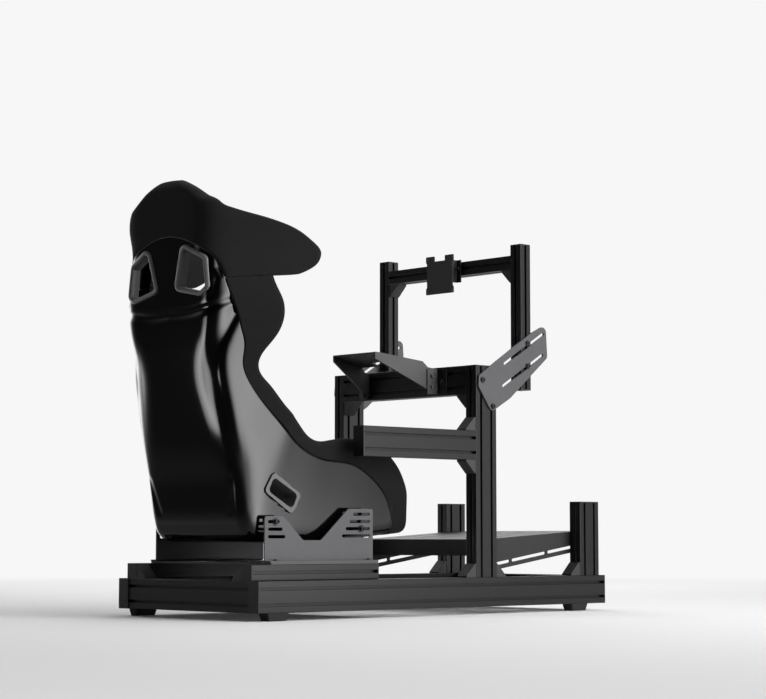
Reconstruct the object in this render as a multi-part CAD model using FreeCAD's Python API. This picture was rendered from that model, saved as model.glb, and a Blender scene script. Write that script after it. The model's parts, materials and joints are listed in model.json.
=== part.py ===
import FreeCAD, Part
import math
import os

V = FreeCAD.Vector

# Sim racing cockpit: a bolted T-slot aluminium frame that carries a bucket seat,
# a wheel deck, a shifter arm, a monitor stand and a pedal deck.
# Millimetres. X to the driver's right, Y forward, Z up, floor at zero.
# While building, Y is zero at the rear ends of the base rails.

# Base frame
CELL = 40.0                 # one cell of the T-slot system
TALL = 2 * CELL             # the long side of a double profile
RIG_LENGTH = 1300.0
RIG_WIDTH = 580.0
FOOT_HEIGHT = 20.0
FOOT_LENGTH = 70.0
FOOT_WIDTH = 38.0
FOOT_TAPER = 6.0
FOOT_INSET = 66.0           # rear foot centre from the rail end
FOOT_INSET_FRONT = 108.0
CAP = 3.0                   # end cap thickness

# T-slot section, eight millimetre slot
SLOT_MOUTH = 8.0
SLOT_LIP = 4.5
SLOT_ROOM = 20.0
SLOT_SHOULDER = 7.5
SLOT_FLOOR = 10.0
SLOT_DEPTH = 12.2
EDGE_ROUND = 1.5

# Corner brackets
BRACKET_LEG = 37.0
BRACKET_TIP = 4.0
BRACKET_ROUND = 1.2

# Seat carrier
RISER_OUT = 258.0           # outer face of the risers from the centre plane
RISER_LENGTH = 433.0
RISER_START = 4.0
PLATE_THICK = 5.0
PLATE_HALF = 250.0
CARRIER_START = 73.0        # rear edge of plate and side brackets
CARRIER_LENGTH = 372.0
SHEET = 4.0                 # side bracket sheet
SIDE_IN = 222.0             # inner face of the side brackets
SIDE_FLANGE = 26.0
SIDE_REAR_TOP = 117.0       # heights over the base plate
SIDE_FRONT_TOP = 138.0
SIDE_NOTCH = 56.0
SLOT_FIRST = 14.0           # top slot under the tower top
SLOT_STEP = 19.0
REAR_BOLT = 36.0            # fixing bolts from the bracket's ends
FRONT_BOLT = 42.0
SPACER_RADIUS = 11.0

# Wheel stand
UPRIGHT_START = 771.0
UPRIGHT_LENGTH = 580.0
ARM_LENGTH = 418.0
ARM_LIFT = 319.0            # shifter arm underside over the rail
DECK_SHEET = 5.0
DECK_REAR_HALF = 87.0
DECK_FRONT_HALF = 140.0
DECK_LENGTH = 184.0
DECK_TILT = 8.6
DECK_GAP = 4.0              # cheek ends to the crossbar face
DECK_BOLT_CIRCLE = 100.0
DECK_BOLT = 6.5

# Monitor stand
POST_START = 952.0
POST_LENGTH = 412.0
POST_LIFT = 519.0           # post bottom over the rail
MONITOR_BAR_DROP = 30.0     # bar top under the post top
CARRIER_SHEET = 6.0
SCREEN_PITCH = 100.0
SCREEN_EDGE = 5.5           # plate edge beyond the bolt pattern
SCREEN_DROP = 15.0          # plate centre under the bar centre
SCREEN_HOLE = 4.5
SCREEN_SHEET = 4.0
SCREEN_STANDOFF = 34.0
SCREEN_REACH = 19.0         # bracket under the bar
SCREEN_LIP = 6.0            # bracket over the bar

# Pedal stand
PEDAL_POST_START = 1194.0
PEDAL_POST_LENGTH = 210.0
PEDAL_START = 850.0
PEDAL_LENGTH = 396.0
PEDAL_SHEET = 4.0
PEDAL_REAR_LIFT = 103.0     # plate rear edge over the rail top
PEDAL_TILT = 3.5

# Seat
SHELL = 5.0                 # laminate thickness
CLEAR = 0.5                 # gap between laminate and padding
PAD = 38.0                  # bolster padding
BACK_PAD = 26.0
PAN_PAD = 52.0
CUSHION_HALF = 128.0
SEAM = 1.0                  # gap between neighbouring pads
SEAT_BOTTOM = 200.0         # underside of the shell at the hip
SEAM_HEIGHT = 868.0         # seam between headrest and bolsters
BEZEL_WALL = 7.0
LAP_BEZEL_WALL = 13.0
BEZEL_PROUD = 3.0

RAIL_TOP = FOOT_HEIGHT + TALL
RISER_TOP = RAIL_TOP + CELL
PLATE_TOP = RISER_TOP + PLATE_THICK
HALF = RIG_WIDTH / 2
INNER = HALF - CELL
PEDAL_HALF = INNER           # the deck fits between the pedal posts


def on_plane(plane, u, v, level):
    """Put a drawing point on the XY, XZ or YZ plane at a level along the normal."""
    if plane == "XY":
        return V(u, v, level)
    if plane == "XZ":
        return V(u, level, v)
    return V(level, u, v)


def normal_of(plane, length):
    return on_plane(plane, 0, 0, length)


def rounded(points, place):
    """Closed wire through corners (u, v, radius), each corner a tangent arc."""
    count = len(points)
    corners = []
    for i, (u, v, r) in enumerate(points):
        here = V(u, v, 0)
        back = V(*points[i - 1][:2], 0) - here
        ahead = V(*points[(i + 1) % count][:2], 0) - here
        back.normalize()
        ahead.normalize()
        if r <= 0:
            corners.append((here, None, here))
            continue
        half = back.getAngle(ahead) / 2
        reach = r / math.tan(half)
        middle = back + ahead
        middle.normalize()
        apex = here + middle * (r / math.sin(half) - r)
        corners.append((here + back * reach, apex, here + ahead * reach))
    edges = []
    for i, (start, apex, end) in enumerate(corners):
        if apex is not None:
            arc = Part.Arc(place(start), place(apex), place(end))
            edges.append(arc.toShape())
        following = corners[(i + 1) % count][0]
        if (following - end).Length > 1e-6:
            edges.append(Part.makeLine(place(end), place(following)))
    return Part.Wire(edges)


def drawing(plane, level):
    """A placing function for flat drawings on one plane."""
    return lambda p: on_plane(plane, p.x, p.y, level)


def slab(plane, level, depth, points, holes=()):
    """Extrude a rounded outline with holes along the plane's normal."""
    place = drawing(plane, level)
    wires = [rounded(points, place)]
    wires.extend(rounded(hole, place) for hole in holes)
    face = Part.makeFace(wires, "Part::FaceMakerBullseye")
    return face.extrude(normal_of(plane, depth))


def rectangle(u0, v0, u1, v1, r=0.0):
    return [(u0, v0, r), (u1, v0, r), (u1, v1, r), (u0, v1, r)]


def slot_between(u0, v0, u1, v1, width):
    """Corners of a straight slot with round ends between two end points."""
    along = V(u1 - u0, v1 - v0, 0)
    along.normalize()
    half = width / 2
    r = half - 0.01
    tip = along * half
    side = V(-along.y, along.x, 0) * half
    ends = [V(u0, v0, 0) - tip - side, V(u1, v1, 0) + tip - side,
            V(u1, v1, 0) + tip + side, V(u0, v0, 0) - tip + side]
    return [(p.x, p.y, r) for p in ends]


def round_hole(u, v, radius):
    return slot_between(u - 0.02, v, u + 0.02, v, 2 * radius)


def box(x0, x1, y0, y1, z0, z1):
    return Part.makeBox(x1 - x0, y1 - y0, z1 - z0, V(x0, y0, z0))


def mirrored(shape):
    return shape.mirror(V(0, 0, 0), V(1, 0, 0))


def slot_side(start, along, inward, length):
    """Corner points of one profile side with a T-slot in the middle of each cell."""
    points = [(start.x, start.y, EDGE_ROUND)]
    steps = [(-SLOT_MOUTH / 2, 0), (-SLOT_MOUTH / 2, SLOT_LIP), (-SLOT_ROOM / 2, SLOT_LIP),
             (-SLOT_ROOM / 2, SLOT_SHOULDER), (-SLOT_FLOOR / 2, SLOT_DEPTH)]
    steps += [(-along_slot, depth) for along_slot, depth in reversed(steps)]
    for cell in range(round(length / CELL)):
        middle = start + along * (CELL * (cell + 0.5))
        for along_slot, depth in steps:
            p = middle + along * along_slot + inward * depth
            points.append((p.x, p.y, 0))
    return points


def profile(plane, u0, v0, du, dv, start, length):
    """T-slot extrusion: section on the plane, drawn out along its normal."""
    points = slot_side(V(u0, v0, 0), V(1, 0, 0), V(0, 1, 0), du)
    points += slot_side(V(u0 + du, v0, 0), V(0, 1, 0), V(-1, 0, 0), dv)
    points += slot_side(V(u0 + du, v0 + dv, 0), V(-1, 0, 0), V(0, -1, 0), du)
    points += slot_side(V(u0, v0 + dv, 0), V(0, -1, 0), V(1, 0, 0), dv)
    return slab(plane, start, length, points)


def end_cap(plane, u0, v0, du, dv, start):
    return slab(plane, start, CAP, rectangle(u0, v0, u0 + du, v0 + dv, EDGE_ROUND))


def corner_bracket(corner, u, v):
    """Die-cast angle bracket with its legs along u and v and its cover on."""
    w = u.cross(v)
    leg = BRACKET_LEG
    tip = BRACKET_TIP
    half = leg / 2
    wedge = [(0, 0, 0), (leg, 0, 0), (leg, tip, 1), (tip, leg, 1), (0, leg, 0)]
    body = slab("XY", -half, leg, wedge)
    body = body.makeFillet(BRACKET_ROUND, [e for e in body.Edges if abs(e.tangentAt(e.FirstParameter).z) < 0.5
                                           and e.Length > leg * 0.9 and e.CenterOfMass.x > tip
                                           and e.CenterOfMass.y > tip])
    spin = FreeCAD.Matrix(u.x, v.x, w.x, corner.x, u.y, v.y, w.y, corner.y,
                          u.z, v.z, w.z, corner.z, 0, 0, 0, 1)
    return body.transformGeometry(spin)


def both_sides(maker):
    """A right-hand piece and its mirror image on the left."""
    right = maker()
    return right, mirrored(right)


RIGHT = V(1, 0, 0)
AHEAD = V(0, 1, 0)
UP = V(0, 0, 1)
nodes = {}
caps = []


def add_pair(name, right):
    nodes[name + "_right"] = right
    nodes[name + "_left"] = mirrored(right)


def cap_pair(cap):
    caps.append(cap)
    caps.append(mirrored(cap))


# Base rails, crossbars, feet
add_pair("base_rail", profile("XZ", INNER, FOOT_HEIGHT, CELL, TALL, CAP, RIG_LENGTH - 2 * CAP))
cap_pair(end_cap("XZ", INNER, FOOT_HEIGHT, CELL, TALL, 0))
cap_pair(end_cap("XZ", INNER, FOOT_HEIGHT, CELL, TALL, RIG_LENGTH - CAP))
crossbar_starts = {
    "rear_crossbar": CAP,
    "middle_crossbar": RISER_START + RISER_LENGTH - CELL,
    "front_crossbar": PEDAL_POST_START + CELL,
}
for name, start in crossbar_starts.items():
    nodes[name] = profile("YZ", start, FOOT_HEIGHT, CELL, TALL, -INNER, 2 * INNER)


def foot(middle):
    centre = HALF - CELL / 2
    wide = FOOT_WIDTH / 2
    deep = FOOT_LENGTH / 2
    top = rounded(rectangle(centre - wide, middle - deep, centre + wide, middle + deep, 4),
                  drawing("XY", FOOT_HEIGHT))
    wide -= FOOT_TAPER / 2
    deep -= FOOT_TAPER
    sole = rounded(rectangle(centre - wide, middle - deep, centre + wide, middle + deep, 4),
                   drawing("XY", 0))
    return Part.makeLoft([sole, top], True, True)


feet = []
for middle in (FOOT_INSET, RIG_LENGTH - FOOT_INSET_FRONT):
    feet.extend(both_sides(lambda: foot(middle)))
nodes["rubber_feet"] = Part.makeCompound(feet)

# Seat carrier
riser_in = RISER_OUT - CELL
add_pair("seat_riser", profile("XZ", riser_in, RAIL_TOP, CELL, CELL,
                               RISER_START + CAP, RISER_LENGTH - 2 * CAP))
cap_pair(end_cap("XZ", riser_in, RAIL_TOP, CELL, CELL, RISER_START))
cap_pair(end_cap("XZ", riser_in, RAIL_TOP, CELL, CELL, RISER_START + RISER_LENGTH - CAP))
carrier_end = CARRIER_START + CARRIER_LENGTH
nodes["seat_base_plate"] = slab("XY", RISER_TOP, PLATE_THICK,
                                rectangle(-PLATE_HALF, CARRIER_START, PLATE_HALF, carrier_end, 6))


rear_slot_height = PLATE_TOP + SIDE_REAR_TOP - SLOT_FIRST
front_slot_height = PLATE_TOP + SIDE_FRONT_TOP - SLOT_FIRST - 2 * SLOT_STEP


def side_slots(end, reach, top, count, grow):
    """A ladder of level slots in one tower, each lower one longer."""
    way = math.copysign(1, reach)
    slots = []
    for step in range(count):
        z = top - SLOT_FIRST - SLOT_STEP * step
        slots.append(slot_between(end + 15 * way, z, end + reach + grow * step * way, z, 8.5))
    return slots


def seat_bracket():
    rear_top = PLATE_TOP + SIDE_REAR_TOP
    front_top = PLATE_TOP + SIDE_FRONT_TOP
    notch = PLATE_TOP + SIDE_NOTCH
    root = PLATE_TOP + 18.0
    start = CARRIER_START
    towers = [(start, root, 0), (carrier_end, root, 0), (carrier_end, front_top, 8),
              (carrier_end - 86, front_top, 8), (start + 190, notch, 14), (start + 128, notch, 14),
              (start + 62, rear_top, 8), (start, rear_top, 8)]
    slots = side_slots(start, 46, rear_top, 3, 9)
    slots += side_slots(carrier_end, -66, front_top, 4, 13)
    upper = slab("YZ", SIDE_IN, SHEET, towers, slots)
    bend = [(SIDE_IN, PLATE_TOP, 6), (SIDE_IN + SIDE_FLANGE, PLATE_TOP, 0),
            (SIDE_IN + SIDE_FLANGE, PLATE_TOP + SHEET, 0), (SIDE_IN + SHEET, PLATE_TOP + SHEET, 2),
            (SIDE_IN + SHEET, root, 0), (SIDE_IN, root, 0)]
    angle = slab("XZ", start, CARRIER_LENGTH, bend)
    return upper.fuse(angle).removeSplitter()


add_pair("seat_bracket", seat_bracket())

# Wheel stand
upright_top = RAIL_TOP + UPRIGHT_LENGTH
add_pair("upright", profile("XY", INNER, UPRIGHT_START, CELL, TALL, RAIL_TOP, UPRIGHT_LENGTH - CAP))
cap_pair(end_cap("XY", INNER, UPRIGHT_START, CELL, TALL, upright_top - CAP))
wheel_bar_base = upright_top - TALL
nodes["wheel_crossbar"] = profile("YZ", UPRIGHT_START, wheel_bar_base, CELL, TALL, -INNER, 2 * INNER)
arm_base = RAIL_TOP + ARM_LIFT
arm_start = UPRIGHT_START - ARM_LENGTH
nodes["shifter_arm"] = profile("XZ", INNER, arm_base, CELL, TALL, arm_start + CAP, ARM_LENGTH - CAP)
caps.append(end_cap("XZ", INNER, arm_base, CELL, TALL, arm_start))


def wheel_deck():
    """Bent sheet: a tapered plate tilted towards the driver with two cheeks."""
    rise = math.tan(math.radians(DECK_TILT))
    front = UPRIGHT_START - DECK_GAP
    rear = front - DECK_LENGTH
    rear_top = upright_top + 38.0
    plate_front = front - 42.0
    front_top = rear_top - rise * (plate_front - rear)
    profile_side = [(rear, rear_top - 19, 4), (rear, rear_top, 3), (plate_front, front_top, 3),
                    (plate_front + 16, front_top - 16, 3), (front, front_top - 21, 4),
                    (front, front_top - 91, 6)]
    narrowing = (DECK_FRONT_HALF - DECK_REAR_HALF) / DECK_LENGTH
    wide = slab("YZ", -DECK_FRONT_HALF - 1, 2 * DECK_FRONT_HALF + 2, profile_side)
    plan = [(-DECK_REAR_HALF, rear, 0), (DECK_REAR_HALF, rear, 0),
            (DECK_FRONT_HALF, front, 0), (-DECK_FRONT_HALF, front, 0)]
    block = wide.common(slab("XY", wheel_bar_base - 50, 300, plan))
    lean = math.sqrt(1 + narrowing * narrowing) * DECK_SHEET
    inner_plan = [(-DECK_REAR_HALF + lean, rear - 40, 0), (DECK_REAR_HALF - lean, rear - 40, 0),
                  (DECK_REAR_HALF - lean, rear, 0), (DECK_FRONT_HALF - lean, front, 0),
                  (DECK_FRONT_HALF - lean, front + 20, 0), (-DECK_FRONT_HALF + lean, front + 20, 0),
                  (-DECK_FRONT_HALF + lean, front, 0), (-DECK_REAR_HALF + lean, rear, 0)]
    drop = DECK_SHEET / math.cos(math.radians(DECK_TILT))
    hollow_side = [(rear - 60, rear_top - drop + 60 * rise, 0), (plate_front, front_top - drop, 0),
                   (plate_front, front_top + 60, 0), (front + 60, front_top + 60, 0),
                   (front + 60, front_top - 200, 0), (rear - 60, front_top - 200, 0)]
    hollow = slab("YZ", -DECK_FRONT_HALF, 2 * DECK_FRONT_HALF, hollow_side)
    deck = block.cut(hollow.common(slab("XY", wheel_bar_base - 200, 600, inner_plan)))
    mouth = slab("XY", wheel_bar_base, 300, [(-58, plate_front + 30, 0), (58, plate_front + 30, 0),
                                             (46, plate_front - 46, 30), (-46, plate_front - 46, 30)])
    deck = deck.cut(mouth)
    middle = V(0, rear + 50, rear_top)
    for quarter in range(4):
        angle = math.radians(45 + 90 * quarter)
        across = DECK_BOLT_CIRCLE / 2 * math.cos(angle)
        along = DECK_BOLT_CIRCLE / 2 * math.sin(angle)
        axis = V(0, math.sin(math.radians(DECK_TILT)), math.cos(math.radians(DECK_TILT)))
        foot_point = middle + V(across, along * axis.z, -along * axis.y - 50 * rise) - axis * 20
        deck = deck.cut(Part.makeCylinder(DECK_BOLT / 2, 40, foot_point, axis))
    return deck


nodes["wheel_deck"] = wheel_deck()


def deck_bracket():
    """Angle bracket that ties a cheek to the face of the wheel crossbar."""
    base = wheel_bar_base + 5.0
    front = UPRIGHT_START - DECK_GAP
    slant = (DECK_FRONT_HALF - DECK_REAR_HALF) / DECK_LENGTH
    reach = 30.0
    wall = 4.0
    start = DECK_FRONT_HALF
    tail = start - slant * reach
    nose = start + slant * DECK_GAP
    outline = [(tail, front - reach, 0), (tail + wall, front - reach, 0), (start + wall, front, 2),
               (start + 38, front, 0), (start + 38, UPRIGHT_START, 0), (nose, UPRIGHT_START, 0)]
    return slab("XY", base, 70.0, outline)


add_pair("wheel_deck_bracket", deck_bracket())

# Monitor stand
post_base = RAIL_TOP + POST_LIFT
post_top = post_base + POST_LENGTH
add_pair("monitor_post", profile("XY", INNER, POST_START, CELL, CELL, post_base + CAP, POST_LENGTH - 2 * CAP))
cap_pair(end_cap("XY", INNER, POST_START, CELL, CELL, post_base))
cap_pair(end_cap("XY", INNER, POST_START, CELL, CELL, post_top - CAP))
bar_top = post_top - MONITOR_BAR_DROP
bar_base = bar_top - CELL
nodes["monitor_crossbar"] = profile("YZ", POST_START, bar_base, CELL, CELL, -INNER, 2 * INNER)


def carrier_plate():
    """Slotted outrigger plate from an upright to a monitor post."""
    y0 = UPRIGHT_START
    z0 = upright_top
    outline = [(y0 + 4, z0 - 58, 10), (y0 + 56, z0 - 128, 16), (y0 + 130, z0 - 87, 40),
               (y0 + 212, z0 - 22, 30), (y0 + 283, z0 + 34, 14), (y0 + 277, z0 + 128, 16),
               (y0 + 213, z0 + 98, 30), (y0 + 6, z0 - 30, 12)]
    slots = [slot_between(y0 + 109, z0 + 8, y0 + 265, z0 + 100, 9),
             slot_between(y0 + 103, z0 - 54, y0 + 261, z0 + 40, 9),
             round_hole(y0 + 20, z0 - 42, 4.5), round_hole(y0 + 60, z0 - 111, 4.5)]
    return slab("YZ", HALF, CARRIER_SHEET, outline, slots)


add_pair("monitor_plate", carrier_plate())


def screen_plate():
    """Screen plate with a notched head and a square bolt pattern."""
    half = SCREEN_PITCH / 2 + SCREEN_EDGE
    middle = (bar_top + bar_base) / 2 - SCREEN_DROP
    waist = half - 4.0
    right = [(22, half - 17, 3), (22, half, 3), (half, half, 2), (half, half - 16, 3),
             (waist, half - 22, 3), (waist, 22 - half, 3), (half, 16 - half, 3), (half, -half, 2)]
    outline = [(u, middle + v, r) for u, v, r in right]
    outline += [(-u, middle + v, r) for u, v, r in reversed(right)]
    back = POST_START - SCREEN_STANDOFF
    plate = slab("XZ", back, SCREEN_SHEET, outline)
    pitch = SCREEN_PITCH / 2
    for side in (-1, 1):
        for lift in (-1, 1):
            start = V(side * pitch, back - 1, middle + lift * pitch)
            plate = plate.cut(Part.makeCylinder(SCREEN_HOLE / 2, SCREEN_SHEET + 2, start, V(0, 1, 0)))
    return plate


nodes["screen_plate"] = screen_plate()


def screen_bracket():
    """Channel between the screen plate and the monitor crossbar."""
    rear = POST_START - SCREEN_STANDOFF + SCREEN_SHEET
    wall = 4.0
    wide = 40.0
    outline = [(-wide, rear, 4), (wide, rear, 4), (wide, POST_START - wall, 2),
               (wide + 16, POST_START - wall, 0), (wide + 16, POST_START, 0),
               (wide - wall, POST_START, 4), (wide - wall, rear + wall, 2),
               (wall - wide, rear + wall, 2), (wall - wide, POST_START, 4),
               (-wide - 16, POST_START, 0), (-wide - 16, POST_START - wall, 0),
               (-wide, POST_START - wall, 2)]
    return slab("XY", bar_base - SCREEN_REACH, CELL + SCREEN_REACH + SCREEN_LIP, outline)


nodes["screen_bracket"] = screen_bracket()

# Pedal stand
pedal_post_top = RAIL_TOP + PEDAL_POST_LENGTH
add_pair("pedal_post", profile("XY", INNER, PEDAL_POST_START, CELL, TALL, RAIL_TOP, PEDAL_POST_LENGTH - CAP))
cap_pair(end_cap("XY", INNER, PEDAL_POST_START, CELL, TALL, pedal_post_top - CAP))


def pedal_deck():
    """Folded deck: a tilted plate, a rear apron and two slotted side flanges."""
    rise = math.tan(math.radians(PEDAL_TILT))
    rear = PEDAL_START
    front = rear + PEDAL_LENGTH
    rear_top = RAIL_TOP + PEDAL_REAR_LIFT
    front_top = rear_top + rise * PEDAL_LENGTH
    flange_rear = rear_top - 90.0
    flange_front = front_top - 56.0
    side = [(rear, flange_rear, 8), (front, flange_front, 8), (front, front_top, 4), (rear, rear_top, 4)]
    slope = (flange_front - flange_rear) / PEDAL_LENGTH
    slots = []
    for begin, end in ((14, 90), (107, 237), (254, 384)):
        slots.append(slot_between(rear + begin, flange_rear + 16 + slope * begin,
                                  rear + end, flange_rear + 16 + slope * end, 8.5))
    block = slab("YZ", -PEDAL_HALF, 2 * PEDAL_HALF, side, slots)
    sheet = PEDAL_SHEET
    inside = [(rear + sheet, flange_rear - 60, 0), (front + 60, flange_rear - 60, 0),
              (front + 60, front_top - sheet + 60 * rise, 0),
              (rear + sheet, rear_top - sheet + sheet * rise, 3)]
    deck = block.cut(slab("YZ", sheet - PEDAL_HALF, 2 * (PEDAL_HALF - sheet), inside))
    under_apron = box(sheet - PEDAL_HALF, PEDAL_HALF - sheet, rear - 1, rear + 2 * sheet,
                      flange_rear - 20, rear_top - 46)
    deck = deck.cut(under_apron)
    wells = []
    for column in range(-2, 3):
        for row in range(2):
            y = rear + 70 + 150 * row
            wells.append(slab("XY", RAIL_TOP, 400, slot_between(90 * column, y, 90 * column, y + 100, 8.5)))
    return deck.cut(Part.makeCompound(wells))


nodes["pedal_deck"] = pedal_deck()

# Corner brackets
middle_x = HALF - CELL / 2
base_brackets = []
for corner, along in ((UPRIGHT_START, -AHEAD), (UPRIGHT_START + TALL, AHEAD), (PEDAL_POST_START, -AHEAD)):
    base_brackets.extend(both_sides(lambda: corner_bracket(V(middle_x, corner, RAIL_TOP), along, UP)))
nodes["base_corner_brackets"] = Part.makeCompound(base_brackets)
riser_brackets = []
for start in (crossbar_starts["rear_crossbar"], crossbar_starts["middle_crossbar"]):
    corner = V(riser_in, start + CELL / 2, RAIL_TOP)
    riser_brackets.extend(both_sides(lambda: corner_bracket(corner, -RIGHT, UP)))
nodes["riser_corner_brackets"] = Part.makeCompound(riser_brackets)
wheel_corner = V(INNER, UPRIGHT_START + CELL / 2, wheel_bar_base)
nodes["wheel_corner_brackets"] = Part.makeCompound(
    both_sides(lambda: corner_bracket(wheel_corner, -RIGHT, -UP)))
nodes["shifter_corner_brackets"] = Part.makeCompound([
    corner_bracket(V(middle_x, UPRIGHT_START, arm_base + TALL), -AHEAD, UP),
    corner_bracket(V(middle_x, UPRIGHT_START, arm_base), -AHEAD, -UP)])
monitor_corner = V(INNER, POST_START + CELL / 2, bar_base)
nodes["monitor_corner_brackets"] = Part.makeCompound(
    both_sides(lambda: corner_bracket(monitor_corner, -RIGHT, -UP)))
nodes["end_caps"] = Part.makeCompound(caps)

# Seat: channel sections fan round the hip from the front of the pan to the headrest.
# Each row: spine point y and z over the seat bottom, tilt of the section plane,
# half width, corner radius and wall flare in degrees.
STATIONS = [
    (640, 25, 92, 194, 36, 4),
    (560, 18, 91, 196, 35, 4),
    (450, 7, 89, 198, 34, 4),
    (330, -3, 84, 199, 33, 4),
    (220, -6, 78, 200, 33, 4),
    (120, -5, 73, 201, 33, 4),
    (58, 3, 68, 202, 34, 4),
    (30, 48, 64, 202, 36, 5),
    (10, 150, 56, 200, 40, 6),
    (-22, 260, 44, 194, 46, 8),
    (-46, 370, 31, 185, 50, 12),
    (-62, 480, 19, 180, 52, 16),
    (-68, 570, 12, 186, 56, 15),
    (-71, 655, 6, 185, 60, 12),
    (-75, 740, 8, 167, 64, 12),
    (-79, 810, 9, 178, 68, 12),
    (-80, 850, 10, 173, 68, 11),
    (-80, 878, 10, 157, 62, 10),
    (-79, 902, 10, 120, 56, 10),
    (-77, 920, 10, 76, 50, 10),
    (-76, 930, 10, 40, 48, 10),
]
LEAST_ROUND = 10.0
FAIRING = 1.3               # reach of a soft corner over that of a plain arc


def station(t):
    """Smooth blend of the section rows at a fractional row number."""
    i = min(int(t), len(STATIONS) - 2)
    f = t - i
    rows = [STATIONS[min(max(i + k, 0), len(STATIONS) - 1)] for k in (-1, 0, 1, 2)]
    blend = []
    for a, b, c, d in zip(*rows):
        blend.append(b + f * (c - a + f * (2 * a - 5 * b + 4 * c - d + f * (3 * (b - c) + d - a))) / 2)
    return blend


def rows_between(first, last, count):
    return [station(first + (last - first) * k / (count - 1)) for k in range(count)]


def channel(row, inset):
    """Corner position, corner reach, corner length and flare of a section under the outside."""
    half, radius, flare = row[3], row[4], math.radians(row[5])
    corner = half + inset * (math.tan(flare) - 1 / math.cos(flare))
    reach = FAIRING * max(radius - inset, LEAST_ROUND) * math.tan(math.pi / 4 - flare / 2)
    reach = min(reach, 0.95 * corner)
    return corner, reach, 1.7 * reach, flare


def pull(u):
    """Share of the first leg left at a fraction of a corner that starts and ends straight."""
    v = 1 - u
    return v ** 3 * (v * v + 3 * u * v + 2.2 * u * u)


def section_offset(row, inset, girth):
    """Distance across and depth of a section at a length from its middle."""
    corner, reach, span, flare = channel(row, inset)
    length = abs(girth)
    if length <= corner - reach:
        return length, inset
    u = min((length - corner + reach) / span, 1.0)
    run = reach * pull(1 - u) + max(length - corner + reach - span, 0.0)
    return corner - reach * pull(u) + run * math.sin(flare), inset + run * math.cos(flare)


def section_point(row, inset, girth):
    """Point of a section at a signed length from its middle."""
    across, depth = section_offset(row, inset, girth)
    tilt = math.radians(row[2])
    return V(math.copysign(across, girth), row[0] + depth * math.cos(tilt),
             SEAT_BOTTOM + row[1] + depth * math.sin(tilt))


def girth_where(row, inset, axis, value):
    """Length along a section at which its width or depth reaches a value."""
    low, high = 0.0, 900.0
    while high - low > 1e-7:
        middle = (low + high) / 2
        if section_offset(row, inset, middle)[axis] < value:
            low = middle
        else:
            high = middle
    return low


def girth_at_width(row, inset, across):
    return girth_where(row, inset, 0, across)


def girth_at_depth(row, inset, depth):
    return girth_where(row, inset, 1, max(depth, inset + 0.5))


def smooth_curve(points):
    """Points along a smooth curve through the given ones."""
    curve = Part.BSplineCurve()
    curve.interpolate([V(u, v, 0) for u, v in points])
    return curve.toShape().discretize(240)


def wall_depth(row, curve):
    """Depth at which a section plane meets a side-view curve."""
    tilt = math.radians(row[2])
    base = V(row[0], SEAT_BOTTOM + row[1], 0)
    along = V(math.cos(tilt), math.sin(tilt), 0)
    depths = []
    for p, q in zip(curve, curve[1:]):
        side_p = along.cross(p - base).z
        side_q = along.cross(q - base).z
        if side_p * side_q <= 0 and side_p != side_q:
            hit = p + (q - p) * (side_p / (side_p - side_q))
            depths.append((hit - base).dot(along))
    return max(depths)


def even_steps(row, inset, low, high, count):
    return [low + (high - low) * k / count for k in range(count + 1)]


def along_bends(row, inset, low, high, counts):
    """Lengths along a section whose grid keeps to the back, the corner and the wall."""
    corner, reach, span, flare = channel(row, inset)
    wall = corner - reach + span
    bend = max(corner - reach, low + (wall - low) / 4)
    knots = [low, bend, wall, max(high, wall + reach)]
    squeeze = (high - low) / (knots[3] - low)
    lengths = [low]
    for k in range(3):
        for i in range(counts[k]):
            lengths.append(knots[k] + (knots[k + 1] - knots[k]) * (i + 1) / counts[k])
    return [low + (length - low) * squeeze for length in lengths]


def no_relief(row, girth):
    return 0.0


def sheet(rows, inset, limits, counts, spread, relief):
    """Smooth surface at a depth under the outside, plus its relief."""
    grid = []
    for row in rows:
        low, high = limits(row, inset)
        lengths = spread(row, inset, max(low, 0), high, counts)
        if low < 0:
            lengths = [-length for length in reversed(lengths[1:])] + lengths
        grid.append([section_point(row, inset + relief(row, length), length) for length in lengths])
    surface = Part.BSplineSurface()
    surface.interpolate(grid)
    return surface


def plain(rows, inset, limits, count):
    return sheet(rows, inset, limits, count, even_steps, no_relief)


def skin(surfaces):
    """Solid between two sheets over the same rows, closed by ruled rims."""
    faces = [surface.toShape() for surface in surfaces]
    for end in (0, 1):
        faces.append(Part.makeRuledSurface(*[s.uIso(s.bounds()[end]).toShape() for s in surfaces]))
        faces.append(Part.makeRuledSurface(*[s.vIso(s.bounds()[2 + end]).toShape() for s in surfaces]))
    sewn = Part.makeCompound(faces)
    sewn.sewShape(0.01)
    solid = Part.makeSolid(sewn.Shells[0])
    if solid.Volume < 0:
        solid.reverse()
    return solid


# Side-view curves: hem of the laminate, padded edge of the bolsters, headrest wings
hem = smooth_curve([(640, 150), (556, 206), (540, 250), (501, 329), (450, 370), (395, 397), (287, 410),
                    (196, 443), (120, 508), (73, 554), (34, 605), (19, 651), (22, 693), (10, 740),
                    (-3, 781), (-18, 822), (-27, 854), (-28, 920), (0, 1010)])
wing = smooth_curve([(98, 905), (107, 857), (122, 815), (126, 782), (116, 737), (92, 700), (69, 668),
                     (63, 642), (70, 622), (96, 595), (142, 545), (191, 499), (228, 466), (264, 453),
                     (330, 459), (390, 462), (450, 456), (500, 440), (530, 420), (560, 392),
                     (580, 362), (598, 318), (606, 270), (610, 150)])
head = smooth_curve([(78, 850), (105, 866), (140, 875), (175, 887), (204, 901), (226, 917), (238, 936),
                     (240, 948), (223, 971), (181, 998), (121, 1017), (80, 1026), (33, 1035),
                     (-10, 1045), (-32, 1056), (-40, 1080), (-40, 1220)])
ARCH_TOP = 980.0
ARCH_DROP = 88.0            # the arch falls by this much at its reach
ARCH_REACH = 205.0
ARCH_BLEND = 10             # how tightly the arch runs into the side hem


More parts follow.
